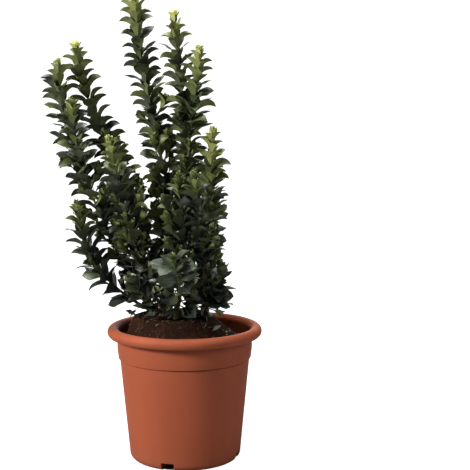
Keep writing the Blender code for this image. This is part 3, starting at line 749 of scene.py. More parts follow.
def drain_ways():
    """The level direction in which each drain channel runs out."""
    return [toward(math.radians(DRAIN_BEARING + 360 * i / DRAIN_COUNT)) for i in range(DRAIN_COUNT)]


def drain_bars(width, bottom, top, start, end):
    """Bars that lie along the drain channels, from one distance off the axis to another."""
    bars = []
    for out in drain_ways():
        side = Vector((-out.y, out.x, 0)) * width / 2
        mesh = bmesh.new()
        corners = []
        for height in (bottom, top):
            for reach, turn in ((start, -1), (end, -1), (end, 1), (start, 1)):
                corners.append(mesh.verts.new(out * reach + side * turn + Vector((0, 0, height))))
        bmesh.ops.convex_hull(mesh, input=corners)
        bars.append(linked("drain_bar", mesh))
    return bars


def drain_holes():
    """Cutters for one round hole in each drain channel's roof."""
    holes = []
    for out in drain_ways():
        mesh = bmesh.new()
        bmesh.ops.create_cone(mesh, cap_ends=True, segments=32, radius1=DRAIN_HOLE_RADIUS,
                              radius2=DRAIN_HOLE_RADIUS, depth=4 * WALL)
        place = out * DRAIN_HOLE_AT + Vector((0, 0, DRAIN_HEIGHT + WALL))
        bmesh.ops.translate(mesh, vec=place, verts=mesh.verts)
        holes.append(linked("drain_hole", mesh))
    return holes


def make_pot():
    """The pot with its finely rounded collar, rolled rim, notches and holes."""
    segments = look("pot").segments
    outside = [(0, 0)] + wall_profile(0) + rim_profile()
    inside = list(reversed(wall_profile(WALL))) + [(0, WALL)]
    pot = turned("nursery_pot", outside + inside, segments)
    ridges = drain_bars(DRAIN_WIDTH + 2 * WALL, WALL / 2, DRAIN_HEIGHT + WALL, DRAIN_START - WALL,
                        FOOT_RADIUS)
    below_step = wall_profile(WALL / 2)[:FOOT_STEPS + 2]
    limit_profile = [(0, WALL / 2)] + below_step + [(0, below_step[-1][1])]
    for ridge in ridges:
        combine(ridge, [turned("ridge_limit", limit_profile, segments)], "INTERSECT")
    combine(pot, ridges, "UNION")
    channels = drain_bars(DRAIN_WIDTH, -WALL, DRAIN_HEIGHT, DRAIN_START, FOOT_RADIUS + FOOT_CORNER)
    combine(pot, channels + drain_holes(), "DIFFERENCE")
    pot.data.materials.clear()
    pot.data.materials.append(pot_finish())
    pot.data.shade_smooth()
    pot.data.set_sharp_from_angle(angle=math.radians(32))
    belongs(pot, "pot", "pot")


def soil_height(x, y):
    """Height of the soil at a place, with its clods and crumbs."""
    place = Vector((x, y))
    offset = place - MOUND_CENTRE
    reach = offset.length
    height = SOIL_TOP
    if reach > MOUND_RADIUS:
        ray = offset / reach
        along = MOUND_CENTRE.dot(ray)
        to_wall = -along + math.sqrt(along * along + SOIL_RADIUS ** 2 - MOUND_CENTRE.length_squared)
        fall = min(1.0, (reach - MOUND_RADIUS) / (to_wall - MOUND_RADIUS))
        fall = math.sqrt(fall * fall + SHOULDER) - math.sqrt(SHOULDER)
        fall /= math.sqrt(1 + SHOULDER) - math.sqrt(SHOULDER)
        height -= (SOIL_TOP - SOIL_EDGE) * fall * (1 + MOUND_STEEPNESS - MOUND_STEEPNESS * fall)
    for rise, scale, level in CLODS:
        height += rise * noise.noise(Vector((x, y, level)) * scale)
    return height - CLOD_SINK


def make_soil():
    """The soil's clodded surface, down to the pot's floor."""
    turns = [math.tau * i / SOIL_SIDES for i in range(SOIL_SIDES)]
    rays = [(math.cos(turn), math.sin(turn)) for turn in turns]
    rings = [[(radius * x, radius * y, height) for x, y in rays] for radius, height in SOIL_BOTTOM]
    for row in range(SOIL_ROWS, 0, -1):
        places = [MOUND_CENTRE.lerp(Vector(ray) * SOIL_RADIUS, row / SOIL_ROWS) for ray in rays]
        rings.append([(place.x, place.y, soil_height(place.x, place.y)) for place in places])
    skin = Skin()
    skin.tube(rings)
    soil = skin.piece("compost_mound", [soil_finish()], 80)
    belongs(soil, "soil", "soil")


def on_soil(place, above=0.0):
    """The point of the soil's surface at a place, or one at a height above it."""
    return Vector((place.x, place.y, soil_height(place.x, place.y) + above))


def soil_spot(rng, low, high):
    """A random place on the soil, between two shares of the way from the mound's centre to the wall."""
    edge = toward(rng.uniform(0, math.tau)).xy * (SOIL_RADIUS - 2 * MM)
    return on_soil(MOUND_CENTRE.lerp(edge, rng.uniform(low, high)))


def chip(skin, rng, place, size, finish):
    """A flat flake with a ragged outline, tilted on the soil."""
    sides = rng.randint(5, 7)
    tilt = Vector((rng.uniform(-0.5, 0.5), rng.uniform(-0.5, 0.5), 1)).normalized()
    east = tilt.orthogonal().normalized()
    north = tilt.cross(east)
    turn = rng.uniform(0, math.tau)
    stretch = rng.uniform(0.4, 0.9)
    rings = []
    for level, share in ((-0.5, 0.85), (0.0, 1.0), (0.5, 0.8)):
        ring = []
        for i in range(sides):
            angle = turn + math.tau * i / sides
            reach = size * share * (1 + 0.25 * noise.noise(Vector((place.x, place.y, i)) * 531))
            ring.append(place + east * reach * math.cos(angle) + north * reach * stretch * math.sin(angle)
                        + tilt * (level * size * 0.28 + size * 0.1))
        rings.append(ring)
    skin.tube([[tuple(point) for point in ring] for ring in rings], finish)


def fibre(skin, rng, place, finish):
    """A fine bent root or straw lying on the soil."""
    bearing = rng.uniform(0, math.tau)
    length = rng.uniform(*FIBRE_LENGTHS) * MM
    bend = rng.uniform(-FIBRE_BEND, FIBRE_BEND)
    radius = rng.uniform(*FIBRE_RADII) * MM
    points = []
    for i in range(FIBRE_STEPS + 1):
        heading = bearing + bend * i / FIBRE_STEPS
        points.append((place.x, place.y, soil_height(place.x, place.y) + radius + 0.1 * MM
                       + 0.8 * MM * math.sin(math.pi * i / FIBRE_STEPS) * rng.random()))
        step = length / FIBRE_STEPS
        place = Vector((place.x + math.cos(heading) * step, place.y + math.sin(heading) * step, 0))
        if Vector((place.x, place.y)).length > SOIL_RADIUS - 1.5 * MM:
            break
    if len(points) > 2:
        skin.tube(tube_rings(np.array(points), np.full(len(points), radius), 5), finish)


def make_soil_bits():
    """Bark chips, fine roots and pale crumbs on the soil."""
    rng = random.Random(5)
    settings = look("soil")
    skin = Skin()
    for _ in range(settings.chips):
        size = rng.uniform(*(SMALL_CHIPS if rng.random() < SMALL_SHARE else LARGE_CHIPS))
        chip(skin, rng, soil_spot(rng, *CHIP_ZONE), size * MM, rng.randint(0, 2))
    for _ in range(settings.fibres):
        fibre(skin, rng, soil_spot(rng, *FIBRE_ZONE), rng.choice((1, 3, 3)))
    for i in range(settings.crumbs):
        spot = soil_spot(rng, *CRUMB_ZONE)
        if i % 2:
            way = toward(math.radians(rng.uniform(*CRUMB_BEARINGS)))
            spot = on_soil(way * rng.uniform(*CRUMB_REACH) * MM)
        chip(skin, rng, spot, rng.uniform(*CRUMB_SIZES) * MM, 4)
    bits = skin.piece("soil_bits", [
        bits_finish("bark_chip_dark", (0.020, 0.012, 0.008), 0.75),
        bits_finish("bark_chip_brown", (0.085, 0.050, 0.030), 0.75),
        bits_finish("bark_chip_red", (0.085, 0.036, 0.020), 0.70),
        bits_finish("fine_root", (0.110, 0.068, 0.040), 0.65),
        bits_finish("pale_crumb", (0.520, 0.420, 0.250), 0.80)], 50)
    belongs(bits, "soil")


def make_fallen_leaves():
    """Withered leaves that lie curled on the soil."""
    leaves = []
    for x, y, bearing, length, curl, roll in FALLEN_LEAVES:
        place = on_soil(Vector((x * MM, y * MM)), FALLEN_RISE)
        angles = [math.radians(angle) for angle in (FALLEN_LEAN, curl, FALLEN_FOLD)]
        leaves.append(Leaf(place, toward(math.radians(bearing)), Vector((0, 0, -1)), length * MM,
                           *angles, roll, 0))
    materials = [leaf_finish("withered_%s" % part, colour, 0.6, 0.0) for part, colour in (
        ("upper", (0.070, 0.068, 0.045)), ("under", (0.115, 0.100, 0.072)), ("rib", (0.130, 0.115, 0.080)))]
    fallen = leaf_piece("fallen_leaves", leaves, look("leaves").width, materials)
    belongs(fallen, "soil")


class Route:
    """A smooth line, with places on it found by their distance from its start."""

    def __init__(self, points):
        self.points = np.array([tuple(point) for point in points])
        steps = np.linalg.norm(np.diff(self.points, axis=0), axis=1)
        self.reach = np.concatenate(([0.0], np.cumsum(steps)))
        self.length = float(self.reach[-1])

    def point(self, distance):
        """The place at a distance from the line's start."""
        return Vector([float(np.interp(distance, self.reach, self.points[:, i])) for i in range(3)])

    def direction(self, distance):
        """Which way the line runs at a distance from its start."""
        near = 1.5 * MM
        before = self.point(max(0.0, distance - near))
        return (self.point(min(self.length, distance + near)) - before).normalized()

    def at_height(self, height):
        """How far along a rising line it reaches a height."""
        return float(np.interp(height, self.points[:, 2], self.reach))

    def joint(self, distance, bearing):
        """A place on the line, which way it runs there, and outward from it at a bearing round it."""
        direction = self.direction(distance)
        return self.point(distance), direction, leaf_frame(direction, bearing)

    def line(self, distances):
        """The places at many distances, as an array."""
        return np.array([tuple(self.point(distance)) for distance in distances])


def leaning_route(start, tip, lean, tip_lean):
    """A smooth line between two points that leans as given at each end."""
    rise = tip.z - start.z
    first = start + Vector((lean[0], lean[1], 1)) * rise / 3
    last = tip - Vector((tip_lean[0], tip_lean[1], 1)) * rise / 3
    return Route(interpolate_bezier(start, first, last, tip, 60))


def stem_place(name, up):
    """Point on a stem's axis, from 0 at the soil to 1 at its top."""
    stem = STEMS[name]
    foot = Vector((stem.foot[0] * MM, stem.foot[1] * MM, SOIL_TOP + CLEARANCE))
    return foot + Vector((stem.lean[0], stem.lean[1], 1)) * STEM_RISE * up


def stem_radius(up):
    """Radius of a stem, which flares out to its roots over the last few millimetres."""
    radius = STEM_RADIUS + (STEM_TOP_RADIUS - STEM_RADIUS) * up
    flare = max(0.0, 1 - up * STEM_RISE / FLARE_RISE)
    return radius + (FLARE_RADIUS - STEM_RADIUS) * flare * flare


def shoot_route(shoot):
    """The line of a shoot from its stem to its tip."""
    start = stem_place(shoot.stem, shoot.up)
    lean = shoot.lean
    if lean is None:
        lean = STEMS[shoot.stem].lean
    return leaning_route(start, Vector(shoot.tip) * MM, lean, shoot.tip_lean)


def tube_rings(points, radii, sides):
    """Rings of points round a line, which turn as little as they can along it."""
    points = np.asarray(points)
    tangents = np.gradient(points, axis=0)
    tangents /= np.linalg.norm(tangents, axis=1)[:, None]
    side = np.array(Vector(tangents[0]).orthogonal().normalized())
    angles = np.arange(sides) * math.tau / sides
    rings = []
    for point, tangent, radius in zip(points, tangents, radii):
        side = side - tangent * side.dot(tangent)
        side /= np.linalg.norm(side)
        other = np.cross(tangent, side)
        ring = point + radius * (np.cos(angles)[:, None] * side + np.sin(angles)[:, None] * other)
        rings.append(ring)
    return rings


def barked(rings, centre, relief):
    """Rings with ridges and cracks of bark along them."""
    made = []
    for ring, middle in zip(rings, centre):
        out = ring - middle
        moved = []
        for point, ray in zip(ring, out):
            place = Vector([along * grain for along, grain in zip(point, BARK_GRAIN)])
            rough = noise.noise(place) + 0.5 * noise.noise(place * 2.3)
            moved.append(point + ray / np.linalg.norm(ray) * relief * rough)
        made.append(np.array(moved))
    return made


def make_stems(routes):
    """Stems and boughs with the relief of their bark."""
    relief = look("stems").relief
    bark = bark_finish()
    stems = Skin()
    for name in STEMS:
        ups = np.linspace(0, 1.02, 44)
        line = np.array([tuple(stem_place(name, up)) for up in ups])
        radii = np.array([stem_radius(up) for up in ups])
        stems.tube(barked(tube_rings(line, radii, 20), line, relief))
    belongs(stems.piece("woody_stems", [bark], 70), "bark", *["stem_" + name for name in STEMS])
    boughs = Skin()
    for name, shoot in SHOOTS.items():
        if shoot.bough:
            end = shoot.bough * MM + 2 * MM
            distances = np.linspace(0, end, 46)
            line = routes[name].line(distances)
            radii = BOUGH_RADIUS + (BOUGH_TIP_RADIUS - BOUGH_RADIUS) * distances / end
            boughs.tube(barked(tube_rings(line, radii, 14), line, relief * 0.7))
    nodes = ["bough_" + name for name, shoot in SHOOTS.items() if shoot.bough]
    belongs(boughs.piece("woody_boughs", [bark], 70), "bark", *nodes)


class Leaf(NamedTuple):
    """Where a leaf stands on its twig, and how it is shaped."""
    root: Vector
    direction: Vector
    outward: Vector
    length: float
    lean: float
    curl: float
    fold: float
    roll: float
    age: int


# Places along and across a leaf, as shares of its length and of half its width
LEAF_ROWS = np.array((0, 0.09, 0.16, 0.25, 0.35, 0.45, 0.54, 0.62, 0.69, 0.76, 0.83, 0.89, 0.95, 1.0))
LEAF_COLUMNS = np.array((-1, -0.55, -0.08, 0.08, 0.55, 1.0))
# The stalk's length and half its width, as shares of the leaf's length
LEAF_STALK = 0.09
STALK_HALF_WIDTH = 0.012
LEAF_THICKNESS = 0.45 * MM
# How deep the teeth are, how the blade is cupped and waved, and how late it arches
TOOTH = 0.015
CUP = 0.10
WAVE = 0.06
ARCH = 1.5
# How far under the tip of a twig its last pair stands, and how far off the twig's middle
TIP_LEAF = 15.0 * MM
LEAF_OUT = 0.4 * MM
# How far below a tip the pairs stand as far apart as they ever do
FULL_PITCH_AT = 24 * MM
# The pairs round a tip: size beside a full-grown leaf, rise in mm, lean and curl in degrees
BUD_PAIRS = ((0.50, -0.5, 20, 44), (0.47, 1.5, 15, 28), (0.40, 4.5, 8, 12))
# A leaf's lean at its stalk, curl at its tip and fold along its rib, in degrees: as it is in the
# bud, then what it gains as it opens, grows and ages and by being low in the crown, and by chance
LEAN = (4, 15, 0, 10, 8, 5)
CURL = (10, 52, 32, 18, -12, 13)
FOLD = (33, 0, 0, -6, -14, 8)
# The fold of the few older leaves that bend back, and the chance of one at a distance under the tip
BENT_BACK_FOLD = (-26, -6)
BENT_BACK = (0.30, 60 * MM)
# How far below its twig's tip a leaf has opened, and over how much more it ages
OPENED_AT = 12 * MM
AGES_OVER = 180 * MM
ROLL = 0.95
# Where leaves start to be low in the crown and where they are lowest of all, each with the depth
# over which that grows, in m. Low leaves stand flatter and are painted darker as painted shade,
# no leaf below one height is young, and open shoots are painted darker only below another
FLATTER_BELOW = (0.36, 0.12)
PAINTED_SHADE_DEPTH = 0.16
DEEPEST_PAINTED_SHADE_BELOW = (0.29, 0.08)
NO_YOUNG_BELOW = 0.25
OPEN_PAINTED_SHADE_BELOW = 0.235
# How sprays rise from their shoot, beside how they stand out, and under which height in mm they
# are flatter
SPRAY_RISE = 0.62
LOW_SPRAY_RISE = 0.20
SPRAY_OUT = 0.78
LOW_SPRAYS_BELOW = 235
# Where the low sprays stand on a bough, as shares of its length, and how long they are, in mm
LOW_SPRAYS = (0.15, 0.35, 0.50, 0.65, 0.80, 0.95)
LOW_SPRAY_LENGTHS = (26, 38)
# Side twigs: up to which share of a shoot, leans in degrees and lengths in mm
SIDE_TWIGS_UP_TO = 0.55
SIDE_TWIG_LEANS, SIDE_TWIG_LENGTHS = (32, 52), (24, 44)
# How far below a tip a bold leaf counts as standing
BOLD_BELOW = 60 * MM
# The room kept over the soil and over the rim
OFF_SOIL, OFF_RIM = 0.6 * MM, 1 * MM


def leaf_outline(width):
    """Half the leaf's width at each row, as a share of its length, with blunt teeth near its tip."""
    blade = np.clip((LEAF_ROWS - LEAF_STALK) / (1 - LEAF_STALK), 0, 1)
    half = 0.5 * width * np.sin(np.pi * blade ** 1.15) ** 0.80
    in_and_out = np.where(np.arange(len(LEAF_ROWS)) % 2, 1, -1)
    teeth = np.where((LEAF_ROWS > 0.4) & (LEAF_ROWS < 0.97), in_and_out, 0)
    return np.maximum(half * (1 + TOOTH * teeth), STALK_HALF_WIDTH)


def leaf_points(leaves, width):
    """Points of every leaf: rows by columns on its upper side, then its underside's rib."""
    count = len(leaves)
    root, ahead, outward = (np.array([tuple(getattr(leaf, key)) for leaf in leaves])
                            for key in ("root", "direction", "outward"))
    length, lean, curl, fold, roll = (np.array([getattr(leaf, key) for leaf in leaves])[:, None]
                                      for key in ("length", "lean", "curl", "fold", "roll"))
    side = np.cross(ahead, outward)
    angle = lean + (curl - lean) * LEAF_ROWS[None, :] ** ARCH
    along = np.cos(angle)[..., None] * ahead[:, None] + np.sin(angle)[..., None] * outward[:, None]
    above = np.sin(angle)[..., None] * ahead[:, None] - np.cos(angle)[..., None] * outward[:, None]
    across = np.broadcast_to(side[:, None], along.shape)
    tilt = roll * (0.40 + 0.60 * LEAF_ROWS[None, :])
    across, above = (across * np.cos(tilt)[..., None] + above * np.sin(tilt)[..., None],
                     above * np.cos(tilt)[..., None] - across * np.sin(tilt)[..., None])
    steps = np.diff(LEAF_ROWS)[None, :, None] * (along[:, 1:] + along[:, :-1]) / 2
    middle = np.concatenate([np.zeros((count, 1, 3)), np.cumsum(steps, axis=1)], axis=1)
    rib = root[:, None] + middle * length[..., None]
    half = leaf_outline(width)[None, :, None] * length[..., None]
    reach = LEAF_COLUMNS[None, None, :]
    wave = WAVE * np.sin(math.tau * (2.2 * LEAF_ROWS[None, :, None] + roll[..., None] * 3)) * reach ** 2
    rise = half * (np.sin(fold)[..., None] * np.abs(reach) + CUP * reach ** 2 + wave)
    spread = half * reach * np.cos(fold)[..., None]
    inner = np.where(np.abs(reach) < 1, LEAF_THICKNESS / 2, 0.0)
    upper = (rib[:, :, None] + across[:, :, None] * spread[..., None]
             + above[:, :, None] * (rise + inner)[..., None])
    under = rib - above * LEAF_THICKNESS / 2
    return np.concatenate([upper.reshape(count, -1, 3), under], axis=1)


def leaf_faces():
    """Faces of one leaf, and which of its finishes each has: 0 upper, 1 underside, 2 midrib."""
    rows, columns = len(LEAF_ROWS), len(LEAF_COLUMNS)
    below = rows * columns
    faces, parts = [], []
    for row in range(rows - 1):
        low, high = row * columns, (row + 1) * columns
        for column in range(columns - 1):
            faces.append((low + column, high + column, high + column + 1, low + column + 1))
            parts.append(2 if column == columns // 2 - 1 else 0)
        faces.append((low, below + row, below + row + 1, high))
        faces.append((below + row, low + columns - 1, high + columns - 1, below + row + 1))
        parts += [1, 1]
    last = (rows - 1) * columns
    faces.append(tuple(range(columns)) + (below,))
    faces.append(tuple(reversed(range(last, last + columns))) + (below + rows - 1,))
    return faces, parts + [1, 1]


def leaf_piece(name, leaves, width, materials):
    """All the leaves of one piece, as one mesh."""
    points = leaf_points(leaves, width)
    faces, parts = leaf_faces()
    corners = np.concatenate([np.array(face) for face in faces])
    sizes = np.array([len(face) for face in faces])
    offsets = np.arange(len(leaves))[:, None] * points.shape[1]
    age = np.array([leaf.age for leaf in leaves])[:, None]
    finishes = age * 3 + np.array(parts)[None, :]
    return new_piece(name, points.reshape(-1, 3), (corners[None, :] + offsets).ravel(),
                     np.tile(sizes, len(leaves)), finishes.ravel(), materials, 62)


def distance_to_line(points, line):
    """Distance from each point to a line of straight pieces."""
    start, step = line[:-1], np.diff(line, axis=0)
    offset = points[:, None, :] - start[None, :, :]
    share = np.clip((offset * step).sum(axis=2) / (step * step).sum(axis=1), 0, 1)
    gap = offset - share[:, :, None] * step
    return np.sqrt((gap * gap).sum(axis=2)).min(axis=1)


class Growth:
    """Everything that grows on one shoot, kept nearer to its own twigs than to another's."""

    def __init__(self, shoot, own, others, rng):
        self.shoot = shoot
        self.own = own
        self.others = others
        self.rng = rng
        self.leaves = []
        self.twigs = []

    def holds(self, points, slack):
        """Whether the points lie in the shoot's own space, above the soil and off the rim."""
        for x, y, z in points:
            if math.hypot(x, y) < SOIL_RADIUS and z < soil_height(x, y) + OFF_SOIL:
                return False
            if math.hypot(x, y) > SOIL_RADIUS and z < POT_HEIGHT + OFF_RIM:
                return False
        home = np.min([distance_to_line(points, line) for line in self.own], axis=0)
        return all((distance_to_line(points, line) > home - slack).all() for line in self.others)

    def age(self, below_tip, height, main):
        """Which colours a leaf has, by its distance from the tip of its twig, and darker low in the crown as
        painted shade.
        """
        rng = self.rng
        shade = SHADES[self.shoot.tone or self.shoot.shade]
        if main and below_tip < shade.new * MM * rng.uniform(0.6, 1.5):
            return AGES.index("new")
        # Below a height no leaf is young: its colour is painted darker, as painted shade
        if below_tip < shade.young * MM * rng.uniform(0.5, 1.4) * (1.0 if main else 0.5):
            return AGES.index("young" if height > NO_YOUNG_BELOW else "green")
        # Painted shade: low leaves take darker colours, and the darkest lowest down
        shade_painted = not self.shoot.open or height < OPEN_PAINTED_SHADE_BELOW
        if shade_painted and rng.random() < (shade.low - height) / PAINTED_SHADE_DEPTH:
            darkest = rng.random() < (DEEPEST_PAINTED_SHADE_BELOW[0] - height) / DEEPEST_PAINTED_SHADE_BELOW[1]
            return AGES.index(rng.choice(SHADE_PAINTED_LOWEST_LEAVES if darkest else SHADE_PAINTED_LOW_LEAVES))
        return AGES.index(rng.choice(shade.grown))

    def posture(self, terms, stages, extra=0.0):
        """One angle of a leaf in radians, from its bud, its stages of life, an extra and chance."""
        *gains, chance = terms
        angle = gains[0]
        for gain, stage in zip(gains[1:], stages):
            angle += gain * stage
        return math.radians(angle + extra + self.rng.uniform(-chance, chance))

    def leaf(self, place, direction, outward, below_tip, size, main, slack=14 * MM):
        """Try one leaf, which is as open and as large as its age allows, and flatter low down."""
        rng = self.rng
        grown = min(1.0, below_tip / (self.shoot.young * MM))
        opened = min(1.0, below_tip / OPENED_AT)
        aged = min(1.0, max(0.0, below_tip - OPENED_AT) / AGES_OVER)
        low = min(1.0, max(0.0, (FLATTER_BELOW[0] - place.z) / FLATTER_BELOW[1]))
        stages = (opened, grown, aged, low)
        full = look("leaves").length * self.shoot.size * size * (1 + 0.06 * low)
        length = full * (0.55 + 0.45 * grown) * rng.uniform(0.84, 1.08)
        lean = self.posture(LEAN, stages, self.shoot.open)
        curl = self.posture(CURL, stages)
        fold = self.posture(FOLD, stages, -self.shoot.open / 2)
        if rng.random() < BENT_BACK[0] * min(1.0, below_tip / BENT_BACK[1]):
            fold = math.radians(rng.uniform(*BENT_BACK_FOLD))
        roll = rng.uniform(-ROLL, ROLL) * (0.55 + 0.45 * aged)
        middle = (lean + curl) / 2
        along = direction * math.cos(middle) + outward * math.sin(middle)
        samples = np.array([tuple(place + along * length * share) for share in (0.45, 0.75, 1.0)])
        if self.holds(samples, slack):
            self.leaves.append(Leaf(place + outward * LEAF_OUT, direction, outward, length, lean, curl, fold,
                                    roll, self.age(below_tip, place.z, main)))

    def pairs(self, route, start, turn, size=1.0, main=True, gold=None):
        """Pairs of leaves along a twig, each pair turned a quarter round from the last."""
        rng = self.rng
        distance = route.length - TIP_LEAF * size
        below_tip = 0.0
        number = 0
        if main:
            self.bud(route.point(distance), route.direction(distance), turn + 45,
                     self.shoot.gold if gold is None else gold)
        while distance > start:
            direction = route.direction(distance)
            for side in (0, 180):
                bearing = math.radians(turn + number * 90 + side + rng.uniform(-13, 13))
                place = route.point(distance + rng.uniform(-0.5, 0.5) * MM)
                self.leaf(place, direction, leaf_frame(direction, bearing), below_tip, size, main)
            pitch = look("leaves").pitch * (0.55 + 0.45 * min(1.0, below_tip / FULL_PITCH_AT))
            pitch *= self.shoot.spacing if main else 1.0
            step = pitch * rng.uniform(0.88, 1.12)
            distance -= step
            below_tip += step
            number += 1

    def bold_leaves(self, route, bold):
        """Large leaves that stand out of their rows."""
        for height, bearing, size in bold:
            joint = route.joint(route.at_height(height * MM), math.radians(bearing))
            self.leaf(*joint, BOLD_BELOW, size, True, slack=30 * MM)

    def bud(self, place, direction, turn, gold):
        """Three pairs of small upright leaves that close round the tip, the inner ones the brightest."""
        rng = self.rng
        outer = "pale" if gold > 0.3 else "new" if gold > 0.2 else "young"
        inner = "bud" if gold > 0.9 else outer
        for i, (size, rise, lean, curl) in enumerate(BUD_PAIRS):
            for side in (0, 180):
                bearing = math.radians(turn + 90 * i + side + rng.uniform(-12, 12))
                outward = leaf_frame(direction, bearing)
                self.leaves.append(Leaf(
                    place + direction * rise * MM + outward * LEAF_OUT, direction, outward,
                    look("leaves").length * size * (0.9 + 0.3 * gold) * rng.uniform(0.92, 1.08),
                    math.radians(lean + rng.uniform(-3, 3)), math.radians(curl + rng.uniform(-4, 4)),
                    math.radians(26), rng.uniform(-0.2, 0.2), AGES.index(inner if i else outer)))

    def twig(self, foot, heading, length, size, slack=3 * MM):
        """A short leafy twig that turns up towards its tip, where there is room for it."""
        elbow = foot + heading * length * 0.5
        tip = foot + heading * length * 0.75 + Vector((0, 0, length * 0.3))
        twig = Route(interpolate_bezier(foot, elbow, elbow, tip, 14))
        if self.holds(twig.points[4:], slack):
            self.twigs.append((twig, *SIDE_TWIG_RADII, 0.0, 0.5))
            self.pairs(twig, 0.3 * twig.length, self.rng.uniform(0, 90), size, main=False)

    def side_twigs(self, route, start):
        """Short leafy twigs out of the lower part of a shoot."""
        rng = self.rng
        chance = look("leaves").side_twigs * self.shoot.twigs
        count = max(1, round((route.length - start) / look("leaves").pitch))
        for i in range(1, count + 1):
            distance = start + (route.length - start) * i / count
            share = (distance - start) / (route.length - start)
            if share > SIDE_TWIGS_UP_TO or rng.random() > chance:
                continue
            place, direction, outward = route.joint(distance, rng.uniform(0, math.tau))
            lean = math.radians(rng.uniform(*SIDE_TWIG_LEANS))
            heading = direction * math.cos(lean) + outward * math.sin(lean)
            self.twig(place, heading, rng.uniform(*SIDE_TWIG_LENGTHS) * MM, 0.80)

    def sprays(self, route):
        """Side twigs at the places that the shoot names."""
        for height, bearing, length in self.shoot.sprays:
            distance = route.at_height(height * MM)
            place, direction, outward = route.joint(distance, math.radians(bearing))
            rise = SPRAY_RISE if height > LOW_SPRAYS_BELOW else LOW_SPRAY_RISE
            heading = (direction * rise + outward * SPRAY_OUT).normalized()
            self.twig(place, heading, length * MM, 0.95, 30 * MM)

    def low_sprays(self, route, bough):
        """Flat leafy twigs low on a bough, which hide the stems' feet."""
        rng = self.rng
        for share in LOW_SPRAYS:
            place, direction, outward = route.joint(bough * share, rng.uniform(0, math.tau))
            heading = (direction * 0.25 + outward).normalized()
            self.twig(place, heading, rng.uniform(*LOW_SPRAY_LENGTHS) * MM, 0.85, 20 * MM)


def leaf_frame(direction, bearing):
    """Outward direction from a twig at a bearing round it."""
    east = Vector((1, 0, 0))
    east = (east - direction * east.dot(direction)).normalized()
    north = direction.cross(east)
    return math.cos(bearing) * east + math.sin(bearing) * north


def grow(routes):
    """Grow every shoot, and give what grew on each by its name."""
    forks = {name: leaning_route(routes[name].point(routes[name].length * fork.along),
                                 Vector(fork.tip) * MM, fork.lean, fork.tip_lean)
             for name, fork in FORKS.items()}
    lines = {}
    for name in SHOOTS:
        lines[name] = [routes[name].points[::3]]
        if name in forks:
            lines[name].append(forks[name].points[::4])
    grown = {}
    for number, (name, shoot) in enumerate(SHOOTS.items()):
        others = [line for other, many in lines.items() if other != name for line in many]
        growth = Growth(shoot, lines[name], others, random.Random(look("leaves").seed + number))
        route = routes[name]
        start = shoot.bough * MM if shoot.bough else 4 * MM
        growth.twigs.append((route, TWIG_RADIUS, TWIG_TIP_RADIUS, start, 0.30))
        growth.pairs(route, start, shoot.turn)
        growth.side_twigs(route, start)
        growth.bold_leaves(route, shoot.bold)
        growth.sprays(route)
        if shoot.bough:
            growth.low_sprays(route, start)
        if name in forks:
            growth.twigs.append((forks[name], FORK_RADIUS, TWIG_TIP_RADIUS, 0.0, 0.1))
            growth.pairs(forks[name], 8 * MM, shoot.turn + 20, gold=shoot.gold / 2)
            growth.bold_leaves(forks[name], FORKS[name].bold)
        grown[name] = growth
    return grown


def make_twigs(grown):
    """Green twigs, swollen a little at their joints and browner low down."""
    skin = Skin()
    for growth in grown.values():
        for route, radius, tip_radius, start, brown in growth.twigs:
            end = route.length - TIP_LEAF * 0.8
            distances = np.arange(start, end, 2.2 * MM)
            line = route.line(distances)
            share = (distances - start) / (end - start)
            joints = 1 + 0.16 * np.maximum(0, np.cos(math.tau * distances / look("leaves").pitch)) ** 3
            rings = tube_rings(line, (radius + (tip_radius - radius) * share) * joints, 8)
            cut = max(2, int(len(rings) * brown))
            skin.tube(rings[:cut], 1)
            skin.tube(rings[cut - 1:], 0)
    colour = tuple(look("stems").twig)
    twigs = skin.piece("green_twigs", [twig_finish("green_twig", colour),
                                       twig_finish("browning_twig", (0.060, 0.048, 0.026))], 70)
    belongs(twigs, "leaves_green")


def leaf_materials():
    """Upper side, underside and midrib for each age of leaf."""
    made = []
    for age, (upper, under, gloss) in LEAF_COLOURS.items():
        made.append(leaf_finish("leaf_%s_upper" % age, upper, 0.46 - 0.3 * gloss, gloss))
        made.append(leaf_finish("leaf_%s_under" % age, under, 0.60, 0.0))
        rib = tuple(0.55 * a + 0.45 * b + 0.02 for a, b in zip(upper, under))
        made.append(leaf_finish("leaf_%s_rib" % age, rib, 0.42, gloss / 2))
    return made


def make_leaves(grown):
    """Every leaf, joined in pieces by shade and by where their shoots stand."""
    materials = leaf_materials()
    groups = {}
    for name, shoot in SHOOTS.items():
        groups.setdefault((shoot.shade, "back" if shoot.tip[1] > 25 else "front"), []).append(name)
    for (shade, side), names in groups.items():
        leaves = [leaf for name in names for leaf in grown[name].leaves]
        piece = leaf_piece("leaves_%s_%s" % (shade, side), leaves, look("leaves").width, materials)
        belongs(piece, "leaves_" + shade, *names)


# The floor and its backdrop, in m
FLOOR_START, FLOOR_END, FLOOR_SIDE = -4.0, 1.9, 3.6
SWEEP, BACKDROP_TOP = 0.8, 3.6

# Soft lights, each looking at the crown: place, size and colour
CROWN = (0, 0, 0.25)
LIGHTS = {
    "key": ((-1.94, -1.04, 1.20), 0.6, (1.0, 0.985, 0.96)),
    "top": ((-0.25, 0.05, 2.45), 1.2, (1.0, 1.0, 1.0)),
    "back": ((0.3, 1.7, 0.8), 1.2, (1.0, 1.0, 1.0)),
    "fill": ((1.6, -0.9, 1.1), 1.2, (0.96, 0.98, 1.0)),
}

# The photograph's viewpoint: place, turn and tilt in radians, and lens in mm
VIEW_PLACE = (0.0, -1.4065, 0.4522)
VIEW_TURN, VIEW_TILT = 0.0464, 0.1137
VIEW_LENS = 84.15


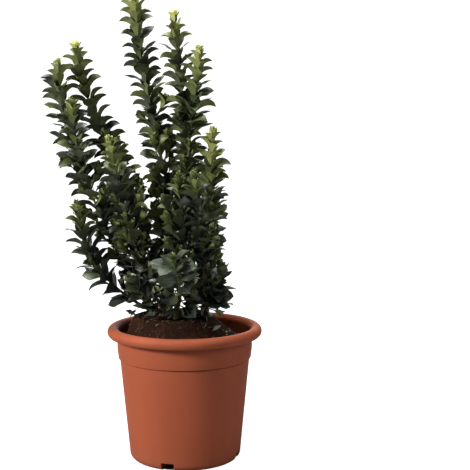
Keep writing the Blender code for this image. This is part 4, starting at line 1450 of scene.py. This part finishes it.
def softbox(name, place, size, colour, power):
    """A square soft light that looks at the crown."""
    lamp = bpy.data.lights.new(name, "AREA")
    lamp.shape = "SQUARE"
    lamp.size = size
    lamp.energy = power
    lamp.color = colour
    holder = placed(name, lamp)
    holder.location = place
    holder.rotation_euler = (Vector(CROWN) - Vector(place)).to_track_quat("-Z", "Y").to_euler()


def make_floor():
    """A pale floor that curves up behind the plant into a backdrop."""
    sweep = [(FLOOR_END + SWEEP * math.sin(math.radians(a)), SWEEP - SWEEP * math.cos(math.radians(a)))
             for a in range(9, 91, 9)]
    profile = [(FLOOR_START, 0.0), (FLOOR_END, 0.0)] + sweep + [(FLOOR_END + SWEEP, BACKDROP_TOP)]
    mesh = bmesh.new()
    rows = [[mesh.verts.new((x, y, z)) for x in (-FLOOR_SIDE, FLOOR_SIDE)] for y, z in profile]
    for low, high in zip(rows, rows[1:]):
        mesh.faces.new((low[0], low[1], high[1], high[0]))
    floor = linked("pale_floor", mesh)
    floor.data.materials.append(floor_finish())
    floor.data.shade_smooth()


def make_camera():
    """A camera at the photograph's viewpoint, a little over the crown's middle and 1.4 m in front."""
    lens = bpy.data.cameras.new("photo_view")
    lens.sensor_width = 36.0
    lens.lens = VIEW_LENS
    camera = placed("photo_view", lens)
    camera.location = VIEW_PLACE
    level = math.cos(VIEW_TILT)
    ahead = Vector((math.sin(VIEW_TURN) * level, math.cos(VIEW_TURN) * level, -math.sin(VIEW_TILT)))
    camera.rotation_euler = ahead.to_track_quat("-Z", "Y").to_euler()
    bpy.context.scene.camera = camera


def make_stage():
    """Pale floor, white room, soft lights and the camera."""
    settings = look("stage")
    make_floor()
    make_camera()
    world = bpy.data.worlds.new("white_room")
    world.use_nodes = True
    nodes, links = world.node_tree.nodes, world.node_tree.links
    background = nodes["Background"]
    background.inputs["Color"].default_value = (1.0, 1.0, 1.0, 1.0)
    background.inputs["Strength"].default_value = settings.room
    backdrop = nodes.new("ShaderNodeBackground")
    backdrop.inputs["Color"].default_value = (1.0, 1.0, 1.0, 1.0)
    seen = nodes.new("ShaderNodeLightPath")
    either = nodes.new("ShaderNodeMixShader")
    links.new(seen.outputs["Is Camera Ray"], either.inputs["Fac"])
    links.new(background.outputs["Background"], either.inputs[1])
    links.new(backdrop.outputs["Background"], either.inputs[2])
    links.new(either.outputs["Shader"], nodes["World Output"].inputs["Surface"])
    bpy.context.scene.world = world
    for name, (place, size, colour) in LIGHTS.items():
        softbox(name + "_light", place, size, colour, getattr(settings, name))
    view = bpy.context.scene.view_settings
    view.view_transform = "Standard"
    view.look = "None"


class SPINDLE_OT_pot(bpy.types.Operator):
    """Build the nursery pot"""
    bl_idname = "spindle.pot"
    bl_label = "Pot"

    def execute(self, context):
        make_pot()
        return {"FINISHED"}


class SPINDLE_OT_soil(bpy.types.Operator):
    """Build the soil and the loose bits on it"""
    bl_idname = "spindle.soil"
    bl_label = "Soil"

    def execute(self, context):
        make_soil()
        make_soil_bits()
        make_fallen_leaves()
        return {"FINISHED"}


class SPINDLE_OT_stems(bpy.types.Operator):
    """Build the woody stems and boughs"""
    bl_idname = "spindle.stems"
    bl_label = "Stems and Boughs"

    def execute(self, context):
        make_stems({name: shoot_route(shoot) for name, shoot in SHOOTS.items()})
        return {"FINISHED"}


class SPINDLE_OT_foliage(bpy.types.Operator):
    """Grow the twigs and leaves"""
    bl_idname = "spindle.foliage"
    bl_label = "Twigs and Leaves"

    def execute(self, context):
        grown = grow({name: shoot_route(shoot) for name, shoot in SHOOTS.items()})
        make_twigs(grown)
        make_leaves(grown)
        return {"FINISHED"}


class SPINDLE_OT_stage(bpy.types.Operator):
    """Set the floor, lights and camera"""
    bl_idname = "spindle.stage"
    bl_label = "Stage"

    def execute(self, context):
        make_stage()
        return {"FINISHED"}


OPERATORS = (SPINDLE_OT_pot, SPINDLE_OT_soil, SPINDLE_OT_stems, SPINDLE_OT_foliage, SPINDLE_OT_stage)


class SPINDLE_PT_panel(bpy.types.Panel):
    """The plant's pieces and settings, in the 3D view's sidebar."""
    bl_idname = "SPINDLE_PT_panel"
    bl_label = "Potted Japanese Spindle"
    bl_space_type = "VIEW_3D"
    bl_region_type = "UI"
    bl_category = "Spindle"

    def draw(self, context):
        for operator in OPERATORS:
            self.layout.operator(operator.bl_idname)
        for name, group in LOOKS.items():
            box = self.layout.box()
            box.label(text=name.title())
            for setting in group.__annotations__:
                box.prop(look(name), setting)


CLASSES = (*LOOKS.values(), *OPERATORS, SPINDLE_PT_panel)


def register():
    """Add the classes and each group's settings."""
    for made in CLASSES:
        bpy.utils.register_class(made)
    for name, group in LOOKS.items():
        setattr(bpy.types.Scene, "spindle_" + name, PointerProperty(type=group))


def unregister():
    """Take the settings and classes away again."""
    for name in LOOKS:
        delattr(bpy.types.Scene, "spindle_" + name)
    for made in reversed(CLASSES):
        bpy.utils.unregister_class(made)


def main():
    """Build the whole scene."""
    register()
    bpy.ops.spindle.stage()
    bpy.ops.spindle.pot()
    bpy.ops.spindle.soil()
    bpy.ops.spindle.stems()
    bpy.ops.spindle.foliage()
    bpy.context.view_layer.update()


if __name__ == "__main__":
    main()
